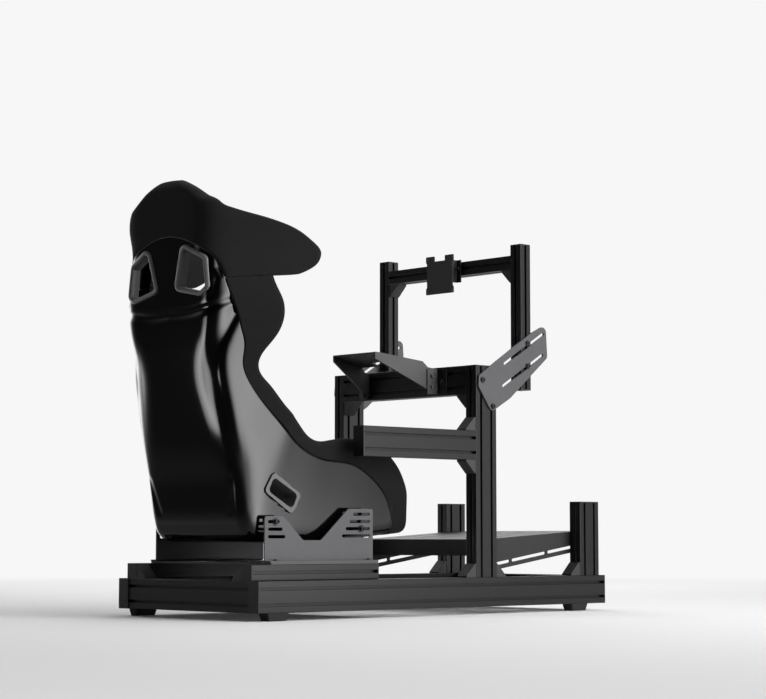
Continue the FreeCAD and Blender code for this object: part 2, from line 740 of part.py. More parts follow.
def arch_girth(z):
    """Half girth of the laminate under its arched top edge."""
    return ARCH_REACH * math.sqrt(max((ARCH_TOP - z) / ARCH_DROP, 0.0))


def arch_rows(widest, count):
    """Rows at even steps of arch width up to the top of the laminate."""
    rows = []
    for k in range(1, count + 1):
        girth = widest * (1 - k / (count + 0.8))
        z = ARCH_TOP - ARCH_DROP * (girth / ARCH_REACH) ** 2
        low, high = NECK - 2, CROWN
        while high - low > 1e-6:
            middle = (low + high) / 2
            if SEAT_BOTTOM + station(middle)[1] < z:
                low = middle
            else:
                high = middle
        rows.append(station(low))
    return rows


def shell_limits(row, inset):
    girth = girth_at_depth(row, inset, wall_depth(row, hem))
    if row[1] > 500:
        arch = arch_girth(SEAT_BOTTOM + row[1])
        girth *= arch / (girth ** ARCH_BLEND + arch ** ARCH_BLEND) ** (1 / ARCH_BLEND)
    return -girth, girth


def head_limits(row, inset):
    girth = girth_at_depth(row, inset, wall_depth(row, head))
    return -girth, girth


def bolster_limits(row, inset):
    return CUSHION_HALF + SEAM, girth_at_depth(row, inset, wall_depth(row, wing))


def cushion_limits(row, inset):
    return -CUSHION_HALF, CUSHION_HALF


# Relief of the laminate: a valley between the back panel and each side wing, a step
# across the neck, a lip round the foot and a short flute beside it.
VALLEY = [(20, 210, 0), (61, 208, 1), (161, 206, 4), (247, 186, 8), (340, 168, 11), (427, 161, 12),
          (475, 172, 12), (530, 205, 10), (581, 243, 7), (625, 290, 0)]
VALLEY_IN = 15.0            # falling side of the valley, next to the back panel
VALLEY_OUT = 34.0           # rising side
NECK_LINE = 582.0
NECK_STEP = 4.0
NECK_HALF = 240.0           # half girth of the step across the neck
LIP_LINE = 52.0
LIP_STEP = 2.5
LIP_HALF = 196.0            # half girth of the lip round the foot
FLUTE = (62, 168, 178, 13)  # lowest and highest row, length from the middle, half width
FLUTE_DEPTH = 4.0


def soft_step(x):
    x = min(max(x, 0.0), 1.0)
    return x * x * (3 - 2 * x)


def valley_at(rise):
    """Length from the middle and depth of the valley, smooth between its points."""
    last = len(VALLEY) - 1
    k = max(i for i in range(last) if VALLEY[i][0] <= rise)
    before, start, end, after = [VALLEY[min(max(k + n, 0), last)] for n in (-1, 0, 1, 2)]
    span = end[0] - start[0]
    f = (rise - start[0]) / span
    values = []
    for a, b, c, d in zip(before[1:], start[1:], end[1:], after[1:]):
        leave = span * (c - a) / (end[0] - before[0])
        arrive = span * (d - b) / (after[0] - start[0])
        turn = 3 * (c - b) - 2 * leave - arrive
        values.append(b + f * (leave + f * (turn + f * (2 * (b - c) + leave + arrive))))
    return values


def shell_relief(row, girth):
    rise = row[1]
    length = abs(girth)
    if row[0] > 60 or rise > VALLEY[-1][0]:
        return 0.0
    depth = 0.0
    if rise > VALLEY[0][0]:
        middle, deepest = valley_at(rise)
        side = length - middle
        width = VALLEY_OUT if side > 0 else VALLEY_IN
        depth = deepest * math.exp(-(side / width) ** 2)
    under = NECK_LINE - rise
    across = soft_step((NECK_HALF - length) / 40)
    depth += NECK_STEP * across * soft_step(under / 24) * soft_step(1 - under / 150)
    under = LIP_LINE - rise
    across = soft_step((LIP_HALF - length) / 40)
    depth += LIP_STEP * across * soft_step(under / 16) * soft_step((rise - 8) / 24)
    low, high, middle, half = FLUTE
    flute = soft_step((rise - low) / 12) * soft_step((high - rise) / 12)
    return depth + FLUTE_DEPTH * flute * soft_step(1.6 * (1 - abs(length - middle) / half))


FRONT = 0.52                # fractional rows where pieces begin and end
SHELL_FRONT = 1.2
HIP = 6.0
NECK = 13.05
CROWN = 19.4


def harness_outline(grow):
    """Upper harness opening on the right, drawn on the back."""
    return [(40 - grow, 843 - grow, 14), (138 + grow / 2, 823 - grow, 12), (164 + grow, 838, 12),
            (153 + grow, 915 + grow / 2, 15), (72 - grow / 2, 953 + grow, 17)]


def lap_outline(grow):
    """Lap belt opening in the side wall."""
    return [(82 - grow, 325, 12), (179, 267 - grow, 12), (207 + grow, 318, 12), (110, 375 + grow, 12)]


def through_back(outline):
    return slab("XZ", -150, 150, outline)


def through_side(outline):
    return slab("YZ", 120, 200, outline)


upper_cut = through_back(harness_outline(CLEAR))
lap_cut = through_side(lap_outline(CLEAR))
cuts = [upper_cut, mirrored(upper_cut), lap_cut, mirrored(lap_cut)]
inside = SHELL + CLEAR
gap = 0.006                 # fractional row that leaves a seam between pads

hip_rows = rows_between(HIP, NECK - gap, 84)
shell_rows = rows_between(SHELL_FRONT, HIP - 0.2, 24) + hip_rows + [station(NECK)] + arch_rows(225, 14)
laminate = [sheet(shell_rows, depth, shell_limits, (11, 20, 14), along_bends, shell_relief)
            for depth in (0, SHELL)]
shell = skin(laminate)
nodes["seat_shell"] = shell.cut(cuts)
head_rows = rows_between(NECK, NECK + 0.85, 14) + rows_between(NECK + 0.95, CROWN, 28)
headrest = skin([plain(head_rows, depth, head_limits, 24) for depth in (inside, SHELL + PAD)])
nodes["headrest_pad"] = headrest.cut(cuts[:2])
bolster_rows = rows_between(FRONT, HIP - 0.2, 28) + hip_rows
bolster = skin([sheet(bolster_rows, inside, bolster_limits, (4, 18, 20), along_bends, shell_relief),
                plain(bolster_rows, SHELL + PAD, bolster_limits, 20)])
add_pair("side_bolster", bolster.cut([upper_cut, lap_cut]))
back_rows = hip_rows[1:]
back = skin([sheet(back_rows, inside, cushion_limits, 8, even_steps, shell_relief),
             plain(back_rows, SHELL + BACK_PAD, cushion_limits, 8)])
nodes["back_cushion"] = back.cut(cuts[:2])
pan_rows = rows_between(FRONT, HIP - gap, 24)
nodes["seat_cushion"] = skin([plain(pan_rows, depth, cushion_limits, 4)
                              for depth in (inside, SHELL + PAN_PAD)])

# Spacers between the side brackets and the shell, one behind each fixing bolt


def seat_spacer(y, z):
    rod = Part.makeCylinder(SPACER_RADIUS, SIDE_IN - CUSHION_HALF, V(CUSHION_HALF, y, z), RIGHT)
    pieces = rod.cut(shell).Solids
    return max(pieces, key=lambda piece: piece.BoundBox.XMax)


spacers = []
for y, z in ((CARRIER_START + REAR_BOLT, rear_slot_height), (carrier_end - FRONT_BOLT, front_slot_height)):
    spacers.extend(both_sides(lambda: seat_spacer(y, z)))
nodes["seat_spacers"] = Part.makeCompound(spacers)

def belt_rim(rows, limits):
    """Band of material through laminate and padding, from which a bezel is cut."""
    return skin([plain(rows, depth, limits, 14) for depth in (-BEZEL_PROUD, SHELL + PAD + 4)])


rim_back = belt_rim(rows_between(11.5, 15.5, 20),
                    lambda row, inset: (20, girth_at_depth(row, inset, inset + 90)))
upper_rim = through_back(harness_outline(0)).cut(through_back(harness_outline(-BEZEL_WALL)))
add_pair("harness_bezel", rim_back.common(upper_rim))
rim_side = belt_rim(rows_between(3.0, 8.0, 20),
                    lambda row, inset: (girth_at_depth(row, inset, 60), girth_at_depth(row, inset, 250)))
lap_rim = through_side(lap_outline(0)).cut(through_side(lap_outline(-LAP_BEZEL_WALL)))
add_pair("lap_bezel", rim_side.common(lap_rim))

# Put the floor centre of the whole cockpit at the origin and write every piece.
whole = Part.makeCompound(list(nodes.values())).optimalBoundingBox(False, False)
shift = V(0, -(whole.YMin + whole.YMax) / 2, -whole.ZMin)
os.makedirs("parts", exist_ok=True)
for name, shape in nodes.items():
    shape.translate(shift)
    shape.exportStep(os.path.join("parts", name + ".step"))
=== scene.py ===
# %% [markdown]
# # A sim racing cockpit, from bare frame to finished picture
#
# The cockpit is a bolted aluminium frame with a bucket seat on it. The hard parts arrive as a packed
# CAD model. This lesson dresses them: it gives every part a material that behaves like the real one,
# sews the upholstery, and puts in the screws that hold the rig together.

# %% Load the frame
import json
import math

import bpy
import numpy as np
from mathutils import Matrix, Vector

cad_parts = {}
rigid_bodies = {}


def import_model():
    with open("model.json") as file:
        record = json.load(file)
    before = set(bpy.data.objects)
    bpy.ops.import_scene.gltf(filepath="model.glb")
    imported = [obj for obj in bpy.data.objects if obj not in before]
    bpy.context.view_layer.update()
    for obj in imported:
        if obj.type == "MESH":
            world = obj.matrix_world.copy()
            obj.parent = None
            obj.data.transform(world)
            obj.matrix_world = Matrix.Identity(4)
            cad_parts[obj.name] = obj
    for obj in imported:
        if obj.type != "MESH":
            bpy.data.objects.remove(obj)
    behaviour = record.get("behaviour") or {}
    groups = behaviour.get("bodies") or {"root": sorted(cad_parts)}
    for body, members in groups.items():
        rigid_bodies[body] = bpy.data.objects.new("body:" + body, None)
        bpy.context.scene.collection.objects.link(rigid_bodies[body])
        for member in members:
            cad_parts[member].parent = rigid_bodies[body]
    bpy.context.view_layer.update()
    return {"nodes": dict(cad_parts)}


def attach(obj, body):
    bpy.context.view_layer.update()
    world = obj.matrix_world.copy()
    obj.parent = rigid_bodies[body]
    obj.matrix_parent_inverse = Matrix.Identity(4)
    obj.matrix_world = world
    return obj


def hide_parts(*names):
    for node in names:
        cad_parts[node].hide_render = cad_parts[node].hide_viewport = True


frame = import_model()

nodes = frame["nodes"]

# %% [markdown]
# ## The camera
#
# The picture is taken from behind the seat on its right, low and from about six metres, with a long
# lens. A low camera that looks up a little makes the seat tower over the rails. The position was
# solved from corners whose size is known: rail ends, uprights and the pedal posts.

# %% Camera
CAMERA_PLACE = (4.3901, -4.0365, 0.2107)
CAMERA_TURN = 46.82
CAMERA_RISE = 4.98
CAMERA_LENS = 100.82

camera = bpy.data.objects.new("camera", bpy.data.cameras.new("camera"))
camera.location = CAMERA_PLACE
camera.rotation_euler = (math.radians(90 + CAMERA_RISE), 0, math.radians(CAMERA_TURN))
camera.data.lens = CAMERA_LENS
camera.data.sensor_width = 36
bpy.context.scene.collection.objects.link(camera)
bpy.context.scene.camera = camera
print("camera", round(math.hypot(*CAMERA_PLACE[:2]), 2), "m from the middle of the rig")

# %% [markdown]
# ## Shader helpers
#
# A shader is a small graph. One function adds a node, fills its settings and draws its links, and one
# turns the colours we name into the linear values that light needs.

# %% Helpers for materials
def linear(code):
    """sRGB hex colour as linear light: c / 12.92 in the toe, ((c + 0.055) / 1.055) ** 2.4 above it."""
    c = np.array([int(code[i:i + 2], 16) for i in (1, 3, 5)]) / 255
    c = np.where(c <= 0.04045, c / 12.92, ((c + 0.055) / 1.055) ** 2.4)
    return (*c.tolist(), 1.0)


def add(tree, kind, inputs=None, **settings):
    """Add one shader node; an input is a number, a colour or another node's output."""
    node = tree.nodes.new("ShaderNode" + kind)
    for name, value in settings.items():
        setattr(node, name, value)
    for key, value in (inputs or {}).items():
        if isinstance(value, bpy.types.NodeSocket):
            tree.links.new(value, node.inputs[key])
        else:
            node.inputs[key].default_value = value
    return node


def blank(name):
    """A new material with only its output node."""
    material = bpy.data.materials.new(name)
    material.use_nodes = True
    material.node_tree.nodes.clear()
    return material, material.node_tree


# %% [markdown]
# ## The studio
#
# The rig stands on pale paint in a white studio. Black gloss shows only what it mirrors, so the room is
# described by where it is bright: a window wall on the left, a big softbox on the right and darkness
# behind. The mirrored floor carries the same brightness out to the horizon, so that no edge of it cuts
# across the shell.

# %% Brightness of the room
# Compass direction in degrees, tightness and strength of each bright side.
SIDES = {"window wall": (175, 18, 3.2), "softbox": (14, 14, 6.4)}
DARK_SIDE = 0.02
SOFT = {"interpolation_type": "SMOOTHSTEP"}


def surround(tree, vector):
    """Brightness by compass direction: the cosine to each bright side, raised to its tightness."""
    flat = add(tree, "VectorMath", {0: vector, 1: (1, 1, 0)}, operation="MULTIPLY").outputs[0]
    flat = add(tree, "VectorMath", {0: flat}, operation="NORMALIZE").outputs[0]
    total = DARK_SIDE
    for turn, tight, strength in SIDES.values():
        way = (math.cos(math.radians(turn)), math.sin(math.radians(turn)), 0)
        facing = add(tree, "VectorMath", {0: flat, 1: way}, operation="DOT_PRODUCT").outputs["Value"]
        facing = add(tree, "Math", {0: facing, 1: 0.0}, operation="MAXIMUM").outputs[0]
        facing = add(tree, "Math", {0: facing, 1: tight}, operation="POWER").outputs[0]
        total = add(tree, "Math", {0: facing, 1: strength, 2: total}, operation="MULTIPLY_ADD").outputs[0]
    return total


white = linear("#f7f7f7")
world = bpy.data.worlds.new("studio")
bpy.context.scene.world = world
world.use_nodes = True
tree = world.node_tree
tree.nodes.clear()
look = add(tree, "TexCoord").outputs["Generated"]
height = add(tree, "SeparateXYZ", {0: look}).outputs["Z"]
fade = add(tree, "MapRange", {"Value": height, "From Min": 0.15, "From Max": 0.8,
                              "To Min": 1.0, "To Max": 0.1}, **SOFT).outputs["Result"]
bright = add(tree, "Math", {0: surround(tree, look), 1: fade}, operation="MULTIPLY").outputs[0]
path = add(tree, "LightPath")
wall = add(tree, "Background", {"Color": white, "Strength": 1.0})
studio = add(tree, "Background", {"Color": (1, 1, 1, 1), "Strength": bright})
mix = add(tree, "MixShader", {0: path.outputs["Is Camera Ray"], 1: studio.outputs[0], 2: wall.outputs[0]})
add(tree, "OutputWorld", {"Surface": mix.outputs[0]})
print("bright sides of the room", list(SIDES))

# %% [markdown]
# The floor is pale paint. Near the rig it shows only the light that falls on it, which keeps the shadow
# under the rails deep. Far away it glows like the white room, so that no horizon shows. Gloss that looks
# down at it finds the bright sides of the room again. For bounced and mirrored light its colour is
# painted darker behind the rig, a painted shade that stands for the dark side of the studio.

# %% Floor
SEAT_PLACE = (0, -0.4, 0)
HORIZON = {"From Min": 0.8, "From Max": 6.0}
material, tree = blank("studio floor paint")
path = add(tree, "LightPath")
seen, mirrored = path.outputs["Is Camera Ray"], path.outputs["Is Glossy Ray"]
where = add(tree, "TexCoord").outputs["Object"]
away = add(tree, "VectorMath", {0: where, 1: SEAT_PLACE}, operation="SUBTRACT").outputs[0]
length = add(tree, "VectorMath", {0: away}, operation="LENGTH").outputs["Value"]
near = add(tree, "MapRange", {"Value": length, "From Min": 0.2, "From Max": 2.2},
           **SOFT).outputs["Result"]
sweep = add(tree, "Math", {0: surround(tree, away), 1: near}, operation="MULTIPLY").outputs[0]
glow = add(tree, "Math", {0: mirrored, 1: sweep}, operation="MULTIPLY").outputs[0]
far = add(tree, "MapRange", {"Value": length, **HORIZON, "To Min": 0.03, "To Max": 1.0},
          **SOFT).outputs["Result"]
glow = add(tree, "Math", {0: seen, 1: far, 2: glow}, operation="MULTIPLY_ADD").outputs[0]
# Colour seen by bounced and mirrored light: painted shade, dark behind the rig and pale in front.
depth = add(tree, "SeparateXYZ", {0: where}).outputs["Y"]
shade_painted_behind = add(tree, "MapRange", {"Value": depth, "From Min": -1.6, "From Max": 0.0,
                              "To Min": 0.05, "To Max": 0.75}, **SOFT).outputs["Result"]
shade = add(tree, "MapRange", {"Value": length, **HORIZON, "To Min": 0.96, "To Max": 0.0},
            **SOFT).outputs["Result"]
tone = add(tree, "MixRGB", {0: seen, 1: shade_painted_behind, 2: shade}).outputs[0]
paint = add(tree, "BsdfDiffuse", {"Color": tone})
lift = add(tree, "Emission", {"Color": white, "Strength": glow})
both = add(tree, "AddShader", {0: paint.outputs[0], 1: lift.outputs[0]})
add(tree, "OutputMaterial", {"Surface": both.outputs[0]})

reach = 14.0
floor_mesh = bpy.data.meshes.new("floor")
corners = [(-reach, -reach, 0), (reach, -reach, 0), (reach, reach, 0), (-reach, reach, 0)]
floor_mesh.from_pydata(corners, [], [(0, 1, 2, 3)])
floor = bpy.data.objects.new("floor", floor_mesh)
floor_mesh.materials.append(material)
bpy.context.scene.collection.objects.link(floor)
print("floor", 2 * reach, "m square")

# %% [markdown]
# Four lamps shape the rig: a key on the right, a wide one overhead, a fill from the front left and a low
# strip behind, whose narrow beam leaves one soft highlight on the back of the seat. A row gives a lamp's
# place, the point it looks at, its size in metres, the spread of its beam in degrees and its watts.

# %% Lamps
LAMPS = {
    "key on the right": ((3.1, 0.9, 2.2), (0.1, -0.2, 0.4), (1.6, 1.6), 180, 40),
    "top": ((0.2, 0.4, 3.4), (0, 0, 0), (2.6, 2.6), 180, 45),
    "front fill": ((-2.6, 2.8, 2.0), (0, 0, 0.5), (2.4, 2.4), 180, 40),
    "strip behind": ((-0.93, -2.31, 0.35), (0.1, -0.6, 0.72), (0.9, 1.5), 36, 1.0),
}
for name, (spot, target, size, spread, watts) in LAMPS.items():
    light = bpy.data.lights.new(name, "AREA")
    light.shape = "RECTANGLE"
    light.size, light.size_y = size
    light.spread = math.radians(spread)
    light.energy = watts
    lamp = bpy.data.objects.new(name, light)
    lamp.location = spot
    lamp.rotation_euler = (Vector(target) - Vector(spot)).to_track_quat("-Z", "Y").to_euler()
    lamp.visible_camera = False
    bpy.context.scene.collection.objects.link(lamp)
bpy.context.scene.view_settings.view_transform = "Standard"
print("lamps", list(LAMPS))

# %% [markdown]
# ## Materials
#
# Most of the rig is one metal: extruded aluminium, brushed by the die along its length, anodised and
# dyed black. Its sheen comes from the clear oxide on top, whose pores are sealed, so its index is close
# to that of glass. A Bevel node rounds the sharp edges for the light, as the die does. Every grain is set
# by its size in millimetres, and drawn coarser where the real one is too fine to show.

# %% Anodised metal
LINE_WIDTH, LINE_LENGTH, EDGE_RADIUS = 1.1, 120.0, 1.1


def anodised(axis):
    """Dyed oxide with die lines: noise drawn out along one axis roughens and scores the surface."""
    material, tree = blank("black anodised aluminium " + axis)
    across, along = 1000 / LINE_WIDTH, 1000 / LINE_LENGTH
    scale = [along if axis == letter else across for letter in "xyz"]
    where = add(tree, "TexCoord")
    drawn = add(tree, "Mapping", {"Vector": where.outputs["Object"], "Scale": scale})
    lines = add(tree, "TexNoise", {"Vector": drawn.outputs[0], "Scale": 1.0, "Detail": 2.0})
    rough = add(tree, "MapRange", {"Value": lines.outputs["Fac"], "To Min": 0.27, "To Max": 0.41})
    tone = add(tree, "MixRGB", {0: lines.outputs["Fac"], 1: linear("#060607"), 2: linear("#0c0c0d")})
    edge = add(tree, "Bevel", {"Radius": EDGE_RADIUS / 1000}, samples=4)
    relief = add(tree, "Bump", {"Height": lines.outputs["Fac"], "Strength": 0.06, "Distance": 0.0001,
                                "Normal": edge.outputs[0]})
    shader = add(tree, "BsdfPrincipled", {"Base Color": tone.outputs[0], "Roughness": rough.outputs[0],
                                          "IOR": 1.48, "Normal": relief.outputs[0]})
    add(tree, "OutputMaterial", {"Surface": shader.outputs[0]})
    return material


profiles = {axis: anodised(axis) for axis in "xyz"}
print("profile finishes along", list(profiles))

# %% [markdown]
# The other finishes differ in colour, gloss and grain, so one function makes them all: a fine noise gives
# the bumps that the tool or the coat leaves, and a broad one varies shade and gloss from place to place.

# %% Coats, plastics and rubber
CLOUD = 45


def grained(name, dark, light, roughness, grain, depth, **sockets):
    """A finish whose bumps follow a fine noise and whose shade a broad one: sizes in millimetres."""
    material, tree = blank(name)
    where = add(tree, "TexCoord").outputs["Object"]
    fine = add(tree, "TexNoise", {"Vector": where, "Scale": 1000 / grain, "Detail": 3.0})
    broad = add(tree, "TexNoise", {"Vector": where, "Scale": 1000 / (grain * CLOUD), "Detail": 2.0})
    tone = add(tree, "MixRGB", {0: broad.outputs["Fac"], 1: linear(dark), 2: linear(light)})
    rough = add(tree, "MapRange", {"Value": broad.outputs["Fac"], "To Min": roughness - 0.05,
                                   "To Max": roughness + 0.05})
    relief = add(tree, "Bump", {"Height": fine.outputs["Fac"], "Strength": 0.4, "Distance": depth / 1000})
    inputs = {"Base Color": tone.outputs[0], "Roughness": rough.outputs[0], "Normal": relief.outputs[0]}
    inputs.update(sockets)
    shader = add(tree, "BsdfPrincipled", inputs)
    add(tree, "OutputMaterial", {"Surface": shader.outputs[0]})
    return material


# Powder melts to a fine orange peel, so its highlight is broad and even.
grey_coat = grained("grey powder coat", "#4b4b4e", "#555558", 0.46, 0.7, 0.05)
black_coat = grained("black powder coat", "#141415", "#1b1b1c", 0.5, 0.7, 0.05)
# Castings are blasted before painting, which leaves them duller than the profiles.
cast = grained("die cast bracket coat", "#29292b", "#343436", 0.5, 0.9, 0.06)
# Nylon and ABS copy the satin grain of an eroded mould.
cap_plastic = grained("cap nylon", "#161617", "#1e1e1f", 0.45, 0.5, 0.03)
bezel_plastic = grained("bezel ABS", "#5e5e60", "#68686a", 0.4, 0.6, 0.03, IOR=1.53)
# Rubber scatters nearly all the light and never shines.
rubber = grained("foot rubber", "#1b1b1b", "#262626", 0.75, 0.8, 0.08)
# Gel coat takes the polish of its mould: black under a clear gloss that waves a little.
gel_coat = grained("black gel coat", "#040404", "#060607", 0.11, 11.0, 0.012, IOR=1.52)
# Black oxide is so thin that a screw keeps a dark metal glint.
steel = grained("black oxide steel", "#3a3a3d", "#4a4a4e", 0.32, 0.4, 0.02, Metallic=1.0)
# Suede is dark seen face on and paler at its rims, where raised fibres catch the light.
suede = grained("knitted suede", "#0b0b0c", "#111112", 0.92, 0.55, 0.25, **{
    "Specular IOR Level": 0.27, "Sheen Weight": 0.2, "Sheen Roughness": 0.35,
    "Sheen Tint": linear("#a0a0a6")})
edge_rubber = grained("edge trim rubber", "#070707", "#0b0b0b", 0.6, 0.8, 0.05)

ALONG = {"base_rail": "y", "crossbar": "x", "seat_riser": "y", "upright": "z", "shifter_arm": "y",
         "monitor_post": "z", "pedal_post": "z"}


def finish_for(name):
    """Material of a CAD node: profiles by their direction, the rest by what they are."""
    for part, axis in ALONG.items():
        if part in name and "bracket" not in name:
            return profiles[axis]
    kinds = {"corner_brackets": cast, "end_caps": cap_plastic, "rubber_feet": rubber,
             "bezel": bezel_plastic, "shell": gel_coat, "cushion": suede, "bolster": suede,
             "headrest": suede, "seat_bracket": grey_coat, "monitor_plate": grey_coat,
             "base_plate": grey_coat}
    return next((coat for part, coat in kinds.items() if part in name), black_coat)


for name, node in nodes.items():
    node.data.materials.clear()
    node.data.materials.append(finish_for(name))
print("finishes", len(bpy.data.materials))

# %% [markdown]
# ## The seat as a family of sections
#
# A bucket seat is a bent channel: a flat back or pan, two soft corners and two side walls. The channel
# fans round the hip from the front of the pan to the headrest. Each row below gives one section in
# millimetres: where it sits, how its plane tilts, half its width, its corner radius and how much its
# walls flare. Padding, trim and seams all ride on this one description, so they fit each other.

# %% Sections of the seat
STATIONS = np.array([
    (640, 25, 92, 194, 36, 4), (560, 18, 91, 196, 35, 4), (450, 7, 89, 198, 34, 4),
    (330, -3, 84, 199, 33, 4), (220, -6, 78, 200, 33, 4), (120, -5, 73, 201, 33, 4),
    (58, 3, 68, 202, 34, 4), (30, 48, 64, 202, 36, 5), (10, 150, 56, 200, 40, 6),
    (-22, 260, 44, 194, 46, 8), (-46, 370, 31, 185, 50, 12), (-62, 480, 19, 180, 52, 16),
    (-68, 570, 12, 186, 56, 15), (-71, 655, 6, 185, 60, 12), (-75, 740, 8, 167, 64, 12),
    (-79, 810, 9, 178, 68, 12), (-80, 850, 10, 173, 68, 11), (-80, 878, 10, 157, 62, 10),
    (-79, 902, 10, 120, 56, 10), (-77, 920, 10, 76, 50, 10), (-76, 930, 10, 40, 48, 10)], float)
SEAT_BOTTOM = 200.0
REAR_END = 611.0


def rows_at(t):
    """Sections at fractional row numbers: a cubic through each run of four neighbouring rows."""
    i = np.clip(t.astype(int), 0, len(STATIONS) - 2)
    f = (t - i)[:, None]
    a, b, c, d = [STATIONS[np.clip(i + k, 0, len(STATIONS) - 1)] for k in (-1, 0, 1, 2)]
    return b + f * (c - a + f * (2 * a - 5 * b + 4 * c - d + f * (3 * (b - c) + d - a))) / 2


def offset(rows, inset, girth):
    """Distance across and depth at a length along a section: flat, then a soft corner, then a wall."""
    half, radius, flare = rows[:, 3:4], rows[:, 4:5], np.radians(rows[:, 5:6])
    corner = half + inset * (np.tan(flare) - 1 / np.cos(flare))
    reach = 1.3 * np.maximum(radius - inset, 10) * np.tan(np.pi / 4 - flare / 2)
    reach = np.minimum(reach, 0.95 * corner)
    along = np.abs(girth) - corner + reach
    u = np.clip(along / (1.7 * reach), 0, 1)
    left, gone = [(1 - w) ** 3 * ((1 - w) ** 2 + 3 * w * (1 - w) + 2.2 * w * w) for w in (u, 1 - u)]
    run = reach * gone + np.maximum(along - 1.7 * reach, 0)
    across = np.where(along <= 0, np.abs(girth), corner - reach * left + run * np.sin(flare))
    return across, np.where(along <= 0, inset, inset + run * np.cos(flare))


def place(rows, inset, girth):
    """Points in metres: the section carried to its spine point and tilted with its plane."""
    across, depth = offset(rows, inset, girth)
    tilt = np.radians(rows[:, 2:3])
    y = rows[:, 0:1] + depth * np.cos(tilt) - REAR_END
    z = rows[:, 1:2] + depth * np.sin(tilt) + SEAT_BOTTOM
    return np.stack([np.sign(girth) * across, y, z], -1) / 1000


print("sections", len(STATIONS), "widest", 2 * STATIONS[:, 3].max(), "mm")

# %% [markdown]
# The edges of the seat are drawn in the side view: the hem of the laminate, the wing of the bolsters and
# the outline of the headrest. A section plane meets such a curve at some depth, and that depth becomes a
# length along the section. So a rim keeps the drawn curve wherever the section is bent.

# %% Edges in the side view
def natural_curve(points, count=400):
    """Cubic through the points by chord length, free of bending at both ends."""
    p = np.array(points, float)
    t = np.concatenate([[0], np.cumsum(np.hypot(*np.diff(p, axis=0).T))])
    h = np.diff(t)
    slope = np.diff(p, axis=0) / h[:, None]
    n = len(p)
    band = np.eye(n)
    inner = np.arange(1, n - 1)
    band[inner, inner] = 2 * (h[:-1] + h[1:])
    band[inner, inner - 1] = h[:-1]
    band[inner, inner + 1] = h[1:]
    load = np.zeros_like(p)
    load[1:-1] = 6 * np.diff(slope, axis=0)
    bend = np.linalg.solve(band, load)
    x = np.linspace(0, t[-1], count)
    i = np.clip(np.searchsorted(t, x, "right") - 1, 0, n - 2)
    f, w = (x - t[i])[:, None], h[i][:, None]
    rise = slope[i] - w * (2 * bend[i] + bend[i + 1]) / 6
    return p[i] + f * (rise + f * (bend[i] / 2 + f * (bend[i + 1] - bend[i]) / (6 * w)))


def wall_depth(rows, curve):
    """Greatest depth at which each section plane meets a curve drawn in the side view."""
    tilt = np.radians(rows[:, 2])[:, None]
    dy = curve[None, :, 0] - rows[:, 0:1]
    dz = curve[None, :, 1] - rows[:, 1:2] - SEAT_BOTTOM
    side = np.cos(tilt) * dz - np.sin(tilt) * dy
    deep = np.cos(tilt) * dy + np.sin(tilt) * dz
    a, b = side[:, :-1], side[:, 1:]
    cut = a * b <= 0
    share = np.where(cut, a / np.where(a == b, 1, a - b), 0)
    return np.where(cut, deep[:, :-1] + share * np.diff(deep, axis=1), -1e9).max(1, keepdims=True)


def girth_at(rows, inset, depth):
    """Length along each section where it reaches a depth, by halving an interval."""
    low, high = np.zeros_like(depth), np.full_like(depth, 900)
    target = np.maximum(depth, inset + 0.5)
    for _ in range(40):
        middle = (low + high) / 2
        short = offset(rows, inset, middle)[1] < target
        low, high = np.where(short, middle, low), np.where(short, high, middle)
    return low


hem = natural_curve([(640, 150), (556, 206), (540, 250), (501, 329), (450, 370), (395, 397), (287, 410),
                     (196, 443), (120, 508), (73, 554), (34, 605), (19, 651), (22, 693), (10, 740),
                     (-3, 781), (-18, 822), (-27, 854), (-28, 920), (0, 1010)])
wing = natural_curve([(98, 905), (107, 857), (122, 815), (126, 782), (116, 737), (92, 700), (69, 668),
                      (63, 642), (70, 622), (96, 595), (142, 545), (191, 499), (228, 466), (264, 453),
                      (330, 459), (390, 462), (450, 456), (500, 440), (530, 420), (560, 392), (580, 362),
                      (598, 318), (606, 270), (610, 150)])
head = natural_curve([(78, 850), (105, 866), (140, 875), (175, 887), (204, 901), (226, 917), (238, 936),
                      (240, 948), (223, 971), (181, 998), (121, 1017), (80, 1026), (33, 1035), (-10, 1045),
                      (-32, 1056), (-40, 1080), (-40, 1220)])
print("points along the edges", [len(curve) for curve in (hem, wing, head)])

# %% Girth of the laminate
ARCH_TOP, ARCH_DROP, ARCH_REACH = 980.0, 88.0, 205.0
ARCH_STARTS = 700.0


def shell_girth(rows):
    """Half girth of the laminate: the hem, blended into the arched top edge over the shoulders."""
    girth = girth_at(rows, 0, wall_depth(rows, hem))
    z = rows[:, 1:2] + SEAT_BOTTOM
    arch = ARCH_REACH * np.sqrt(np.maximum(ARCH_TOP - z, 0) / ARCH_DROP)
    blend = girth * arch / (girth ** 10 + np.maximum(arch, 1e-6) ** 10) ** 0.1
    return np.where(z > ARCH_STARTS, blend, girth)


# Places along the seat as section numbers.
FRONT, SHELL_FRONT, HIP, NECK, CROWN = 0.52, 1.2, 6.0, 13.05, 19.4
print("hem girth at hip and neck", shell_girth(rows_at(np.array([6.0, 13.0]))).round(1).ravel().tolist())

# %% [markdown]
# ## Upholstery
#
# Foam under knitted suede has no sharp edge. Each pad is two sheets, one on the shell and one towards
# the driver, whose distance falls to nothing along a free rim like a half circle, and by a few
# millimetres at a sewn seam. Past the hem of the shell the outer sheet steps out and laps the edge of
# the laminate, as the stretched cover does on the real seat.

# %% Pads
def mesh_piece(name, points, faces, material):
    """Object from an array of points and an array of quads, smooth shaded."""
    mesh = bpy.data.meshes.new(name)
    mesh.from_pydata(points.reshape(-1, 3).tolist(), [], faces.reshape(-1, 4).tolist())
    mesh.polygons.foreach_set("use_smooth", np.ones(len(mesh.polygons), bool))
    mesh.materials.append(material)
    piece = bpy.data.objects.new(name, mesh)
    bpy.context.scene.collection.objects.link(piece)
    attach(piece, "root")
    return piece


